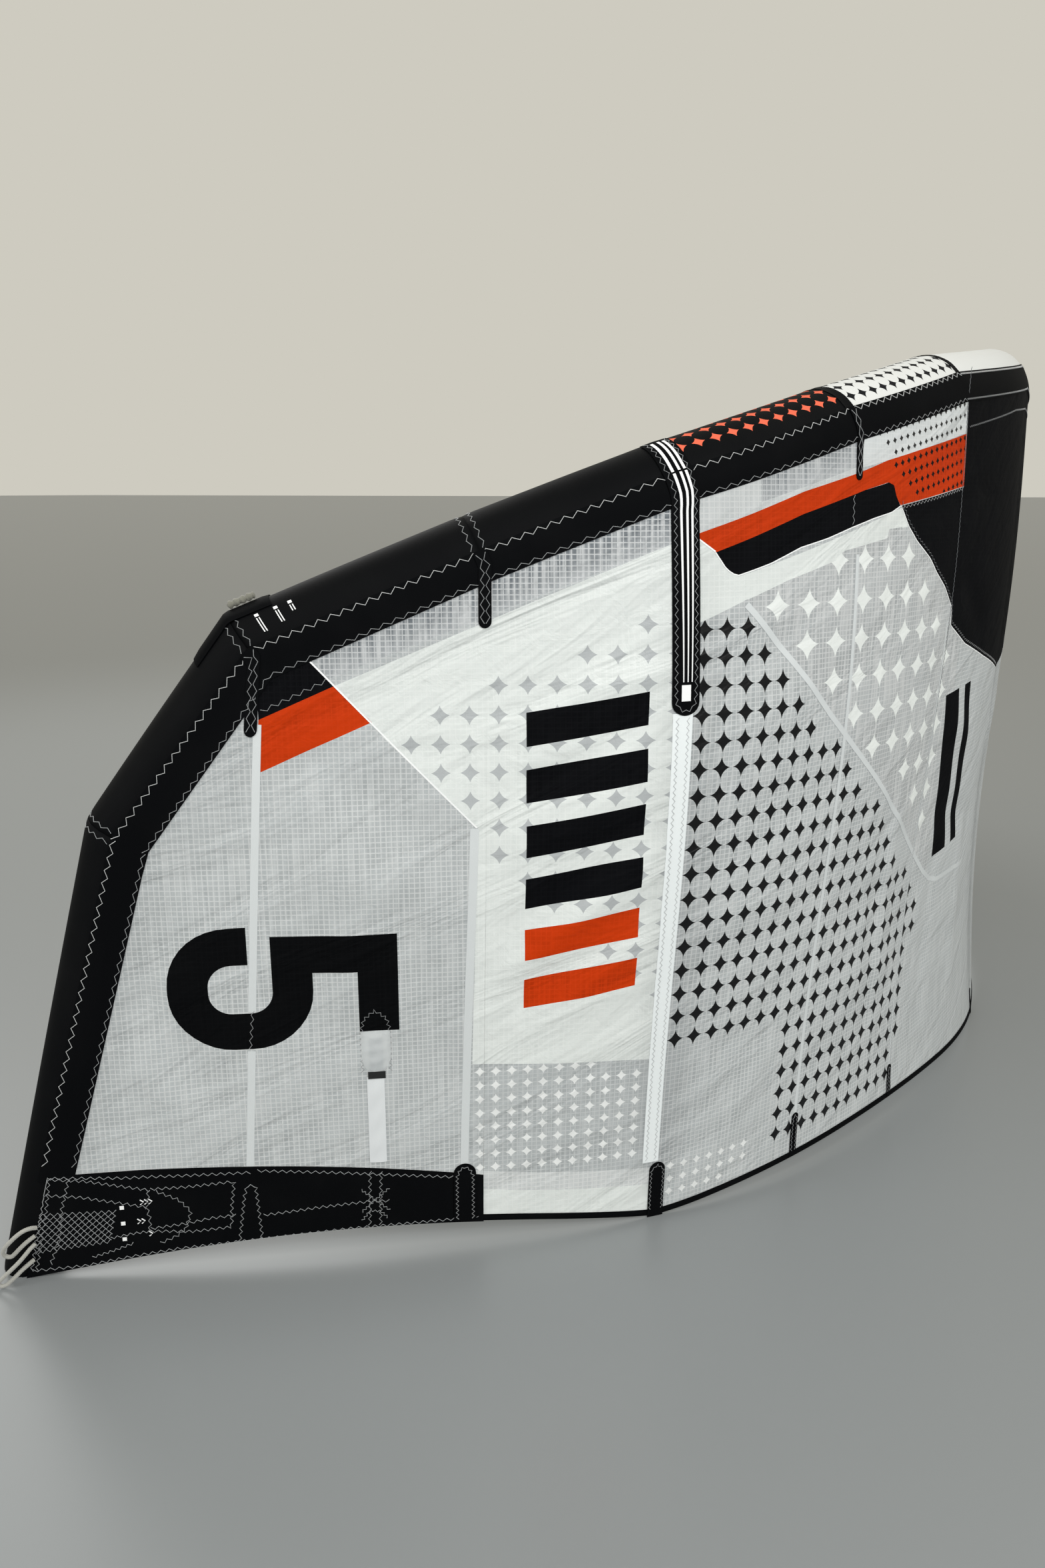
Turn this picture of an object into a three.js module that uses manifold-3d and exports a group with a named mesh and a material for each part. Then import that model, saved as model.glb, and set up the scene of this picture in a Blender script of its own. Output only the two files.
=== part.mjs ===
// A kite for kitesurfing that stands on its bottom edge with the inflated leading tube on top.
// Millimetres, +Z up. The kite is symmetric about X = 0, and its convex face looks towards -Y.
// A place on the kite is given by its distance from the middle along the bottom edge, minus on
// the left and plus on the right, by its height, and by how far it stands out of the cloth.
import * as THREE from "three";
import { mergeVertices } from "three/addons/utils/BufferGeometryUtils.js";
import Module from "manifold-3d";

// Driving sizes
const clothThickness = 1.2;
const strapThickness = 1.2;
const bindingThickness = 2.4;
const gap = 0.3;
const seamGap = 0.6;
const tipEnd = 2030;
const shoulder = 1846;
const wingSeam = 1358;
const strutFoot = 1085;
const strutHead = 1098;
const bindingWidth = 12;
const bindingBack = 0.6;
const tipBandTopOuter = 162;
const tipBandTopInner = 82;
const tipBandGap = 1.5;
const tipBandInset = 3;
const edgeBandEnd = 1980;
const edgeBandFlare = 0.5;
const edgeBandHold = 8;
const panelRows = 8;
const topRise = 6;
const planStep = 5;
const tubeSides = 16;
const strutSides = 14;
const strutTop = -28;
const cutterGrowth = 0.8;
const strutClear = 1.1;
const cutter = { inner: 900, outer: 1300, steps: 8 };
const strapStep = 10;
const strapSettle = 12;
const strapLift = 3.2;
const roundEndTip = 4;
const cordDiameter = 6;
const cordSides = 8;
const cordSteps = 18;

// Layers outwards from the cloth's inner face
const overCloth = clothThickness + 4 * gap;
const overBand = overCloth + edgeBandFlare + strapThickness + 2 * gap;

// The bottom edge seen from above: its heading in degrees at a distance from the middle
const planRows = [
  { across: 0, heading: 0 },
  { across: 300, heading: 14.5 },
  { across: 700, heading: 26 },
  { across: 1000, heading: 38 },
  { across: 1140, heading: 52 },
  { across: 1260, heading: 56.5 },
  { across: 1600, heading: 57 },
  { across: 2100, heading: 55.5 },
];

// The tube's centre and the cloth's profile at each joint of the tube, from the middle out.
// out is measured from the plumb line over the bottom edge.
const tubeRows = [
  { across: 0, height: 1300, out: -88, radius: 73.5, camber: -18, reflex: 11 },
  { across: 480, height: 1250, out: -62, radius: 72, camber: 0, reflex: 11 },
  { across: 800, height: 1184, out: -35, radius: 70, camber: 18, reflex: 11 },
  { across: strutHead, height: 1106, out: -15, radius: 67.5, camber: 24, reflex: 11 },
  { across: 1352, height: 1016, out: -30, radius: 65, camber: 20, reflex: 9 },
  { across: 1652, height: 900, out: -45, radius: 60, camber: 12, reflex: 5 },
  { across: shoulder, height: 655, out: -50, radius: 50, camber: 0, reflex: 0 },
  { across: tipEnd, height: 0, out: -35, radius: 35, camber: 0, reflex: 0 },
];

// The low arches of the bottom edge between the places it stands on
const arches = [
  { inner: 0, outer: strutFoot, rise: 28 },
  { inner: strutFoot, outer: tipEnd, rise: 34 },
];

// How far the black band reaches down the sail and up the tube from the tube's outer line
const bandRows = [
  { across: 0, below: 4, above: 46 },
  { across: 480, below: 4, above: 45 },
  { across: 800, below: 6, above: 43 },
  { across: strutHead, below: 12, above: 31 },
  { across: 1352, below: 22, above: 20 },
  { across: 1652, below: 34, above: 13 },
  { across: shoulder, below: 42, above: 9 },
  { across: tipEnd, below: 38, above: 9 },
];

// The tube's pieces on one side, from the tip in
const tubePieces = [
  { name: "tube_tip", outer: tipEnd, inner: shoulder, steps: 2 },
  { name: "tube_lower", outer: shoulder, inner: 1652, steps: 1 },
  { name: "tube_middle", outer: 1652, inner: 1352, steps: 1 },
  { name: "tube_upper", outer: 1352, inner: strutHead, steps: 5 },
  { name: "tube_starred", outer: strutHead, inner: 800, steps: 5 },
  { name: "tube_crown", outer: 800, inner: 480, steps: 4 },
];
const middleTube = { reach: 480, steps: 12 };

// The sail's panels on one side, from the tip in: each side seam at the bottom and at the tube
const panels = [
  { name: "panel_tip", outerFoot: 1980, outerHead: 1980, innerFoot: 1704, innerHead: 1652, columns: 8 },
  { name: "panel_wing", outerFoot: 1704, outerHead: 1652, innerFoot: wingSeam, innerHead: 1352, columns: 4 },
  {
    name: "panel_strut",
    outerFoot: wingSeam,
    outerHead: 1352,
    innerFoot: strutFoot,
    innerHead: strutHead,
    columns: 5,
  },
  {
    name: "panel_inner",
    outerFoot: strutFoot,
    outerHead: strutHead,
    innerFoot: 806,
    innerHead: 800,
    columns: 5,
  },
  { name: "panel_crown", outerFoot: 806, outerHead: 800, innerFoot: 521, innerHead: 480, columns: 4 },
  { name: "panel_middle", outerFoot: 521, outerHead: 480, innerFoot: 0, innerHead: 0, columns: 6 },
];

// Stops across the edge band from its lower edge at minus one to its upper edge at one
const edgeBandStops = [-1, -0.45, 0, 0.25, 0.6, 1];

// Stops along the tip band and along the binding, from the middle out
const tipBandStops = [wingSeam + seamGap / 2, 1480, 1600, 1704, 1860, 1960, tipEnd - 4];
const bindingStops = [
  seamGap / 2, 91, 181, 272, 362, 452, 543, 633, 724, 814, 904, 995, strutFoot,
  1130, 1187, 1244, 1301, wingSeam - seamGap / 2,
];

// Straps sewn over the tube's joints, with round ends on the cloth
const straps = [
  { name: "finger_tip", head: 1652, foot: 1662, width: 17, over: 11, below: 92 },
  { name: "finger_wing", head: 1352, foot: 1353, width: 17, over: 17, below: 80 },
  { name: "finger_crown", head: 800, foot: 801, width: 13, over: 40, below: 60 },
  { name: "strut_band", head: strutHead, foot: 1094, width: 36, over: 100, below: 292 },
];

// Reinforcing tabs along the bottom edge
const tabs = [
  { name: "tab_strut", across: strutFoot, width: 28, height: 98, foot: 0 },
  { name: "tab_crown", across: 806, width: 15, height: 84, foot: 3 },
  { name: "tab_inner", across: 521, width: 13, height: 66, foot: 3 },
];
const middleTab = { name: "tab_middle", across: 0, width: 12, height: 56, foot: 0 };

// A tab's rounded top: how far below its top each row lies and how wide it is, as shares of its width
const tabTop = [
  { below: 0.35, spread: 1 },
  { below: 0.1, spread: 0.8 },
  { below: 0, spread: 0.4 },
];

// The struts stand behind their seams: radius against height, and the tapered tail
const strutRows = [
  { height: 34, radius: 9 },
  { height: 44, radius: 18 },
  { height: 70, radius: 26 },
  { height: 130, radius: 34 },
  { height: 260, radius: 39 },
  { height: 400, radius: 41.5 },
  { height: 540, radius: 43 },
];

// The batten's pocket on each wing
const pocket = { across: 1516, foot: 106, top: 258, width: 25 };

// The bridle's patch on the tube's front, with its knotted line
const patch = { across: 1652, outer: 1694, inner: 1598, halfAngle: 34, thickness: 2.2, lift: 1.3 };
const knot = { outer: 1648, inner: 1612, radius: 5.5, waist: 4, end: 0.5, knots: 3, steps: 12 };

// The tip's two attachment loops, from the seam and back: out to the tip, up, and off the cloth
const loopRoutes = {
  loop_upper: [
    { along: 2004, up: 84, off: 2.9 },
    { along: 2011, up: 87, off: 8 },
    { along: 2019, up: 86, off: 11 },
    { along: 2028, up: 81, off: 13 },
    { along: 2037, up: 73, off: 13 },
    { along: 2045, up: 64, off: 11 },
    { along: 2050, up: 56, off: 8 },
    { along: 2052, up: 48, off: 5 },
    { along: 2049, up: 42, off: 3 },
    { along: 2043, up: 41, off: 3.5 },
    { along: 2037, up: 46, off: 5.5 },
    { along: 2030, up: 54, off: 8 },
    { along: 2022, up: 62, off: 8.5 },
    { along: 2014, up: 68, off: 7 },
    { along: 2007, up: 71, off: 2.9 },
  ],
  loop_lower: [
    { along: 2008, up: 58, off: 2.9 },
    { along: 2014, up: 54, off: 8 },
    { along: 2021, up: 47, off: 12 },
    { along: 2029, up: 39, off: 15 },
    { along: 2038, up: 31, off: 17 },
    { along: 2047, up: 23, off: 18 },
    { along: 2055, up: 15, off: 18 },
    { along: 2060, up: 9, off: 17.5 },
    { along: 2057, up: 4.5, off: 17 },
    { along: 2050, up: 5, off: 17 },
    { along: 2043, up: 10, off: 16.5 },
    { along: 2035, up: 17, off: 15.5 },
    { along: 2027, up: 24, off: 13 },
    { along: 2019, up: 29, off: 9 },
    { along: 2012, up: 32, off: 2.9 },
  ],
};

// Finishes
const finish = (color, roughness) => new THREE.MeshStandardMaterial({ color, roughness, metalness: 0 });
const blackTube = finish(0x17181a, 0.6);
const whiteTube = finish(0xe9eaea, 0.55);
const blackCloth = finish(0x111214, 0.7);
const sailCloth = finish(0xc9cccd, 0.5);
const whiteSail = finish(0xf1f3f4, 0.5);
const tape = finish(0xdfe2e4, 0.45);
const greyCord = finish(0xa9aaa6, 0.9);

const radians = THREE.MathUtils.degToRad;
const lerp = THREE.MathUtils.lerp;

// A column of a table between its rows
function between(rows, column, across) {
  const at = Math.abs(across);
  const next = rows.findIndex((row) => row.across >= at);
  if (next === 0) return rows[0][column];
  if (next < 0) return rows.at(-1)[column];
  const [a, b] = [rows[next - 1], rows[next]];
  return lerp(a[column], b[column], (at - a.across) / (b.across - a.across));
}

// The bottom edge as seen from above, followed in short steps from the middle
const planPoints = [new THREE.Vector2(0, 0)];
for (let at = planStep / 2; at < planRows.at(-1).across; at += planStep) {
  const turn = radians(between(planRows, "heading", at));
  const step = new THREE.Vector2(planStep * Math.cos(turn), planStep * Math.sin(turn));
  planPoints.push(planPoints.at(-1).clone().add(step));
}

// The upright frame over a place on the bottom edge: its foot, the way to the right, and out
function plumb(across) {
  const side = across < 0 ? -1 : 1;
  const count = Math.min(Math.abs(across) / planStep, planPoints.length - 1.001);
  const from = Math.floor(count);
  const foot = planPoints[from].clone().lerp(planPoints[from + 1], count - from);
  const turn = radians(between(planRows, "heading", across));
  return {
    foot: new THREE.Vector3(side * foot.x, foot.y, 0),
    right: new THREE.Vector3(Math.cos(turn), side * Math.sin(turn), 0),
    out: new THREE.Vector3(side * Math.sin(turn), -Math.cos(turn), 0),
  };
}

const tubeHeight = (across) => between(tubeRows, "height", across);

// How far the cloth's inner face stands out of the plumb line
function clothOut(across, height) {
  const share = THREE.MathUtils.clamp(height / Math.max(tubeHeight(across), 1), 0, 1);
  const top = between(tubeRows, "out", across) + between(tubeRows, "radius", across) + gap;
  const reflex = between(tubeRows, "reflex", across);
  const bow = between(tubeRows, "camber", across) * Math.sin(Math.PI * share);
  return top * share + bow - reflex * Math.sin(2 * Math.PI * share);
}

// A point on the cloth, off its inner face
function onCloth(across, height, off) {
  const { foot, out } = plumb(across);
  const point = foot.addScaledVector(out, clothOut(across, height) + off);
  return point.setZ(height);
}

// The tube's slope just to one side of a place, as an angle
function slopeAngle(across, nudge) {
  const [a, b] = [across + nudge, across + 2 * nudge];
  return Math.atan2((tubeHeight(b) - tubeHeight(a)) * Math.sign(nudge), Math.abs(nudge));
}

// The tube's ring at a place: its centre, radius, the way out, and the way to its front.
// At a joint the ring lies in the mitre, and at the tip it lies level.
function tubeRing(across) {
  const { foot, right, out } = plumb(across);
  const radius = between(tubeRows, "radius", across);
  const centre = foot.addScaledVector(out, between(tubeRows, "out", across)).setZ(tubeHeight(across));
  const atTip = Math.abs(across) >= tipEnd;
  const [a, b] = [slopeAngle(across, -0.5), slopeAngle(across, 0.5)];
  const inner = across < 0 ? slopeAngle(across, 0.5) : slopeAngle(across, -0.5);
  const lean = atTip ? (Math.PI / 2) * -Math.sign(across) : (a + b) / 2;
  const stretch = 1 / Math.cos(atTip ? Math.abs(inner) - Math.PI / 2 : (a - b) / 2);
  const front = right.multiplyScalar(-Math.sin(lean) * stretch);
  front.z = Math.cos(lean) * stretch;
  return { centre, radius, out, front };
}

// A point on the tube at an angle from its outer side towards its front
function onTube(across, angle, off) {
  const { centre, radius, out, front } = tubeRing(across);
  return centre
    .addScaledVector(out, (radius + off) * Math.cos(angle))
    .addScaledVector(front, (radius + off) * Math.sin(angle));
}

// A closed mesh from a three.js geometry whose points are moved
function reshaped(name, material, geometry, move) {
  geometry.deleteAttribute("normal");
  geometry.deleteAttribute("uv");
  const position = geometry.getAttribute("position");
  const point = new THREE.Vector3();
  for (let i = 0; i < position.count; i += 1) {
    const moved = move(point.fromBufferAttribute(position, i).clone());
    position.setXYZ(i, moved.x, moved.y, moved.z);
  }
  const merged = mergeVertices(geometry, 1e-4);
  merged.computeVertexNormals();
  const mesh = new THREE.Mesh(merged, material);
  mesh.name = name;
  return mesh;
}

// A sheet over a grid of columns and rows. place(column, row, face) gives each point,
// with face 0 on the inside and 1 on the outside.
function sheet(name, material, columns, rows, place) {
  const [across, up] = [columns.length - 1, rows.length - 1];
  const box = new THREE.BoxGeometry(1, 1, 1, across, up, 1);
  return reshaped(name, material, box, ({ x, y, z }) => {
    const column = columns[Math.round((x + 0.5) * across)];
    const row = rows[Math.round((y + 0.5) * up)];
    return place(column, row, z > 0 ? 1 : 0);
  });
}

// A round body along a row of stations. ring(station, x, z) gives each point of its skin.
function roundBody(name, material, stations, sides, ring) {
  const steps = stations.length - 1;
  const cylinder = new THREE.CylinderGeometry(1, 1, 1, sides, steps);
  return reshaped(name, material, cylinder, ({ x, y, z }) => {
    const station = stations[Math.round((y + 0.5) * steps)];
    return ring(station, x, z);
  });
}

// Even stops from a to b
const stops = (a, b, steps) => Array.from({ length: steps + 1 }, (_, i) => lerp(a, b, i / steps));

// One piece of the leading tube between two places, grown for use as a cutter
function tubePiece(name, material, from, to, steps, grown = 0) {
  const body = stops(from, to, steps);
  return roundBody(name, material, body, tubeSides, (across, x, z) => {
    const { centre, radius, out, front } = tubeRing(across);
    return centre.addScaledVector(out, x * (radius + grown)).addScaledVector(front, z * (radius + grown));
  });
}

// Seam gaps are taken off a piece's ends
const trimmed = (from, to) => [from + seamGap / 2, to - seamGap / 2];

// The height of the bottom edge
const arch = (across) => {
  const at = Math.abs(across);
  const span = arches.find(({ outer }) => at < outer);
  if (!span) return 0;
  return span.rise * Math.sin((Math.PI * (at - span.inner)) / (span.outer - span.inner));
};

// The top edge of the heavy band along a wing's foot
const tipBandTop = (across) => {
  const share = (Math.abs(across) - wingSeam) / (tipEnd - wingSeam);
  return arch(across) + lerp(tipBandTopInner, tipBandTopOuter, share);
};

// One panel of the sail, between its side seams, its lower trim and the tube
function sailPanel(side, row) {
  const { name, material, outerFoot, outerHead, innerFoot, innerHead, columns } = row;
  const onTip = innerFoot >= wingSeam;
  const lower = (at) => (onTip ? tipBandTop(at) + tipBandGap : arch(at) + bindingWidth + gap);
  const ends = side < 0 ? [0, 1] : [1, 0];
  const place = (share, rise, face) => {
    const inset = lerp(seamGap, -seamGap, share) / 2;
    const foot = side * (lerp(outerFoot, innerFoot, share) - inset);
    const head = side * (lerp(outerHead, innerHead, share) - inset);
    const height = lerp(lower(foot), tubeHeight(head) + topRise, rise);
    return onCloth(lerp(foot, head, rise), height, face * clothThickness);
  };
  return sheet(name, material, stops(...ends, columns), stops(0, 1, panelRows), place);
}

// The black band that closes the sail onto the tube, from the tip to the middle
function edgeBand(side, name) {
  const heads = panels.flatMap(({ outerHead, innerHead, columns }) => stops(innerHead, outerHead, columns));
  const places = [...new Set([...heads, shoulder, edgeBandEnd].filter((at) => at <= edgeBandEnd))];
  const columns = places.map((at) => side * Math.max(at, seamGap / 2)).sort((a, b) => a - b);
  return sheet(name, blackCloth, columns, edgeBandStops, (across, row, face) => {
    const off = face * strapThickness;
    const [below, above] = ["below", "above"].map((column) => between(bandRows, column, across));
    const { front, radius } = tubeRing(across);
    if (row > 0) {
      const settled = Math.max(0, row * above - edgeBandHold) / above;
      return onTube(across, (row * above) / radius, lerp(overCloth, gap, settled) + off);
    }
    const { right } = plumb(across);
    const along = across + row * below * front.dot(right);
    const height = tubeHeight(across) + row * below * front.z;
    return onCloth(along, height, overCloth - row * edgeBandFlare + off);
  });
}

// The heavy band along a wing's foot, from the inner seam to the tube
function tipBand(side, name) {
  const columns = tipBandStops.map((at) => side * at).sort((a, b) => a - b);
  return sheet(name, blackCloth, columns, stops(0, 1, 2), (across, row, face) => {
    const height = lerp(arch(across), tipBandTop(across), row);
    const limit = lerp(tipEnd, shoulder, height / tubeHeight(shoulder)) - tipBandInset;
    const at = side * Math.min(Math.abs(across), limit);
    return onCloth(at, height, gap + face * bindingThickness);
  });
}

// The folded binding along the bottom edge, from the wing band to the middle
function binding(side, name) {
  const columns = bindingStops.map((at) => side * at).sort((a, b) => a - b);
  return sheet(name, blackCloth, columns, [0, 1], (across, row, face) => {
    const height = arch(across) + row * bindingWidth;
    return onCloth(across, height, face * bindingThickness - bindingBack);
  });
}

// A strap from the tube down onto the cloth, with a round end
function strap(side, row) {
  const { name, head, foot, width, over, below } = row;
  const radius = width / 2;
  const end = [0, 0.06, 0.3, 0.65, 1].map((share) => share * radius - below);
  const steepest = Math.max(...[-0.5, 0.5].map((nudge) => Math.abs(slopeAngle(head, nudge))));
  const reach = between(bandRows, "below", head) / Math.cos(steepest);
  const bandTop = between(bandRows, "above", head);
  const settled = -reach - strapStep - strapSettle;
  const length = stops(end.at(-1), settled, Math.ceil((settled - end.at(-1)) / 60)).slice(1);
  const lead = stops(0, over, Math.ceil(over / 20)).slice(1);
  const rows = [...end, ...length, -reach - strapStep, 0, ...lead];
  return sheet(name, blackCloth, [-1, -0.33, 0.33, 1], rows, (column, drop, face) => {
    const fromEnd = drop + below;
    const fromMiddle = Math.max(radius - fromEnd, 0);
    const half = Math.sqrt(Math.max(radius ** 2 - fromMiddle ** 2, roundEndTip));
    const centre = lerp(head, foot, THREE.MathUtils.clamp(-drop / below, 0, 1));
    const across = side * centre + column * half;
    const off = face * strapThickness;
    if (drop > 0) {
      const lift = lerp(overBand, gap, Math.min(1, Math.max(0, drop - bandTop) / strapStep));
      return onTube(across, drop / tubeRing(across).radius, Math.max(lift, strapLift) + off);
    }
    const height = tubeHeight(across) + drop;
    const flat = tubeHeight(side * centre) + drop;
    const sunk = THREE.MathUtils.clamp((-drop - reach - strapStep) / strapSettle, 0, 1);
    const blended = lerp(height, flat, THREE.MathUtils.clamp(-drop / reach, 0, 1));
    return onCloth(across, blended, lerp(overBand + gap, overCloth, sunk) + off);
  });
}

// A tab that stands on the bottom edge, with a rounded top
function edgeTab(side, { name, across, width, height, foot }) {
  const top = tabTop.map(({ below, spread }) => ({ up: height - below * width, spread }));
  const rows = [{ up: foot, spread: 1 }, { up: height / 2, spread: 1 }, ...top];
  return sheet(name, blackCloth, [-1, 0, 1], rows, (column, { up, spread }, face) => {
    const at = side * across + (column * spread * width) / 2;
    const off = bindingThickness - bindingBack + gap + face * strapThickness;
    return onCloth(at, up + (foot > 0 ? arch(at) : 0), off);
  });
}

const wasm = await Module();
wasm.setup();

// A mesh as a solid that can be cut, and back
function solidOf({ geometry }) {
  return new wasm.Manifold(
    new wasm.Mesh({
      numProp: 3,
      vertProperties: geometry.getAttribute("position").array,
      triVerts: new Uint32Array(geometry.index.array),
    }),
  );
}

function cutFrom(mesh, by) {
  const { vertProperties, triVerts } = solidOf(mesh).subtract(solidOf(by)).getMesh();
  const geometry = new THREE.BufferGeometry();
  geometry.setAttribute("position", new THREE.BufferAttribute(vertProperties, 3));
  geometry.setIndex(new THREE.BufferAttribute(triVerts, 1));
  geometry.computeVertexNormals();
  const cut = new THREE.Mesh(geometry, mesh.material);
  cut.name = mesh.name;
  return cut;
}

// A strut behind its seam, from its tail up to the tube
function strut(name, foot, head, by) {
  const top = tubeHeight(head) + strutTop;
  const full = strutRows.at(-1);
  const upper = stops(full.height, top, 5).slice(1).map((height) => ({ height, radius: full.radius }));
  const body = roundBody(name, blackTube, [...strutRows, ...upper], strutSides, (row, x, z) => {
    const across = lerp(foot, head, row.height / top);
    const { right, out } = plumb(across);
    const centre = onCloth(across, row.height, -strutClear - row.radius);
    return centre.addScaledVector(right, x * row.radius).addScaledVector(out, z * row.radius);
  });
  return cutFrom(body, by);
}

// The batten's pocket, a strip sewn on the wing
function battenPocket(side, name) {
  const { across, foot, top, width } = pocket;
  return sheet(name, tape, [-1, 0, 1], stops(foot, top, 4), (column, up, face) => {
    const at = side * across + (column * width) / 2;
    return onCloth(at, up + arch(at), clothThickness + 3 * gap + face * strapThickness);
  });
}

// The bridle's patch around the tube's front at its second joint
function bridlePatch(side, name) {
  const { across, outer, inner, halfAngle, thickness, lift } = patch;
  const places = [inner, (inner + across) / 2, across, outer];
  const columns = places.map((at) => side * at).sort((a, b) => a - b);
  const angles = stops(90 - halfAngle, 90 + halfAngle, 4).map(radians);
  return sheet(name, blackCloth, columns, angles, (at, angle, face) => {
    return onTube(at, angle, lift + face * thickness);
  });
}

// The bridle's knotted line on its patch
function bridleKnot(side, name) {
  const { outer, inner, radius, waist, end, knots, steps } = knot;
  const lift = patch.lift + patch.thickness + gap + radius;
  const stations = stops(0, 1, steps).map((share) => (side < 0 ? share : 1 - share));
  return roundBody(name, greyCord, stations, cordSides, (share, x, z) => {
    const across = side * lerp(outer, inner, share);
    const { out, front } = tubeRing(across);
    const swell = lerp(waist, radius, Math.abs(Math.sin(Math.PI * knots * share)));
    const half = share === 0 || share === 1 ? swell * end : swell;
    const centre = onTube(across, Math.PI / 2, lift);
    return centre.addScaledVector(out, x * half).addScaledVector(front, z * half);
  });
}

// One attachment loop at a tip, along its route
function tipLoop(side, name, route) {
  const points = route.map(({ along, up, off }) => {
    const past = Math.max(0, along - tipEnd);
    const { right } = plumb(side * tipEnd);
    const base = onCloth(side * Math.min(along, tipEnd), up, off + bindingThickness);
    return base.addScaledVector(right, side * past).setZ(up);
  });
  const path = new THREE.CatmullRomCurve3(points);
  const circle = new THREE.Path().absarc(0, 0, cordDiameter / 2, 0, 2 * Math.PI);
  const ring = circle.getPoints(cordSides / 2).slice(0, -1);
  const settings = { steps: cordSteps, bevelEnabled: false, extrudePath: path };
  const geometry = new THREE.ExtrudeGeometry(new THREE.Shape(ring), settings);
  return reshaped(name, greyCord, geometry, (point) => point);
}

// The kite, one side and then the other
const kite = new THREE.Group();
const sides = [
  { side: -1, suffix: "_left" },
  { side: 1, suffix: "_right" },
];
const cords = [];
for (const { side, suffix } of sides) {
  for (const { name, outer, inner, steps } of tubePieces) {
    const ends = side < 0 ? trimmed(-outer, -inner) : trimmed(inner, outer);
    if (name === "tube_tip") ends[side < 0 ? 0 : 1] = side * outer;
    const material = name === "tube_crown" ? whiteTube : blackTube;
    kite.add(tubePiece(name + suffix, material, ...ends, steps));
  }
  for (const row of panels) {
    const material = row.name === "panel_strut" ? whiteSail : sailCloth;
    kite.add(sailPanel(side, { ...row, name: row.name + suffix, material }));
  }
  kite.add(edgeBand(side, "edge_band" + suffix));
  kite.add(tipBand(side, "tip_band" + suffix));
  kite.add(binding(side, "binding" + suffix));
  for (const row of straps) kite.add(strap(side, { ...row, name: row.name + suffix }));
  for (const row of tabs) kite.add(edgeTab(side, { ...row, name: row.name + suffix }));
  const around = side < 0 ? [-cutter.outer, -cutter.inner] : [cutter.inner, cutter.outer];
  const by = tubePiece("cutter", blackTube, ...around, cutter.steps, cutterGrowth);
  kite.add(strut("strut" + suffix, side * strutFoot, side * strutHead, by));
  kite.add(battenPocket(side, "pocket" + suffix));
  kite.add(bridlePatch(side, "bridle_patch" + suffix));
  kite.add(bridleKnot(side, "bridle_knot" + suffix));
  for (const [name, route] of Object.entries(loopRoutes)) cords.push(tipLoop(side, name + suffix, route));
}
const { reach, steps: middleSteps } = middleTube;
kite.add(tubePiece("tube_centre", whiteTube, ...trimmed(-reach, reach), middleSteps));
const middleCutter = tubePiece("cutter", whiteTube, -reach, reach, middleSteps, cutterGrowth);
kite.add(strut("strut_centre", 0, 0, middleCutter));
kite.add(edgeTab(1, middleTab));

// The middle of the kite's box stands on the origin
const box = new THREE.Box3().setFromObject(kite);
const middle = box.getCenter(new THREE.Vector3());
kite.position.set(0, -middle.y, -box.min.z);
kite.add(...cords);

export default kite;
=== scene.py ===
from math import atan2, cos, degrees, dist, exp, floor, hypot, pi, radians, sin, sqrt, tan
import bpy
import bmesh
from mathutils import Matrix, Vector


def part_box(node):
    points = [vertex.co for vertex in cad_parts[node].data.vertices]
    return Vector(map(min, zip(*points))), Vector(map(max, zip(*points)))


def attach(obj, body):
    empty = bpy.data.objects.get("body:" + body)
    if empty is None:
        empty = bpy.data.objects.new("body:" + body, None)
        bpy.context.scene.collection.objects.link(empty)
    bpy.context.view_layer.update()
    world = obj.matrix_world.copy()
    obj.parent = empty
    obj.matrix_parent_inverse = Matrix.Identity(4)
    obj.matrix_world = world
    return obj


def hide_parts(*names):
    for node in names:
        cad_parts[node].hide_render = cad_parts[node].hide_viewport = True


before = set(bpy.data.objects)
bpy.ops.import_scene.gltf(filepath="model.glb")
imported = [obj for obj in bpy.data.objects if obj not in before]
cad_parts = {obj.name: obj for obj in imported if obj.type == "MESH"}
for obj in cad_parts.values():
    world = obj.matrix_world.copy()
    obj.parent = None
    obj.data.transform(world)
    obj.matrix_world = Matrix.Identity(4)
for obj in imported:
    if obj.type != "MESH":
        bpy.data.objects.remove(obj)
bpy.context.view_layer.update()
print("the packed kite is loaded")

# The kite's measures in millimetres. A place on it is given by its distance from the middle along the
# bottom edge, its height, and how far it stands out of the sail's inner face.
kiteForm = {
    "headings": [(0, 0), (300, 14.5), (700, 26), (1000, 38), (1140, 52), (1260, 56.5), (1600, 57), (2100, 55.5)],
    # distance, height, out of the plumb line, radius, camber and reflex at each joint of the tube
    "joints": [(0, 1300, -88, 73.5, -18, 11), (480, 1250, -62, 72, 0, 11), (800, 1184, -35, 70, 18, 11),
               (1098, 1106, -15, 67.5, 24, 11), (1352, 1016, -30, 65, 20, 9), (1652, 900, -45, 60, 12, 5),
               (1846, 655, -50, 50, 0, 0), (2030, 0, -35, 35, 0, 0)],
    "arches": [(0, 1085, 28), (1085, 2030, 34)],  # the bottom edge between the places where it stands
    "planStep": 5, "planEnd": 2100, "tipEnd": 2030, "wingSeam": 1358, "strutFoot": 1085, "strutHead": 1098,
    "tubeGap": 0.3, "tabFront": 3.3, "tipBandTall": (82, 162),
}
joints, tipEnd, wingSeam = kiteForm["joints"], kiteForm["tipEnd"], kiteForm["wingSeam"]
sides = {-1: "Left", 1: "Right"}
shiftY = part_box("tab_middle")[0].y + kiteForm["tabFront"] / 1000


def lerp(a, b, share):
    return a + (b - a) * share


def clamp(value, low=0.0, high=1.0):
    return min(high, max(low, value))


def smooth(value):
    share = clamp(value)
    return share * share * (3 - 2 * share)


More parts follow.
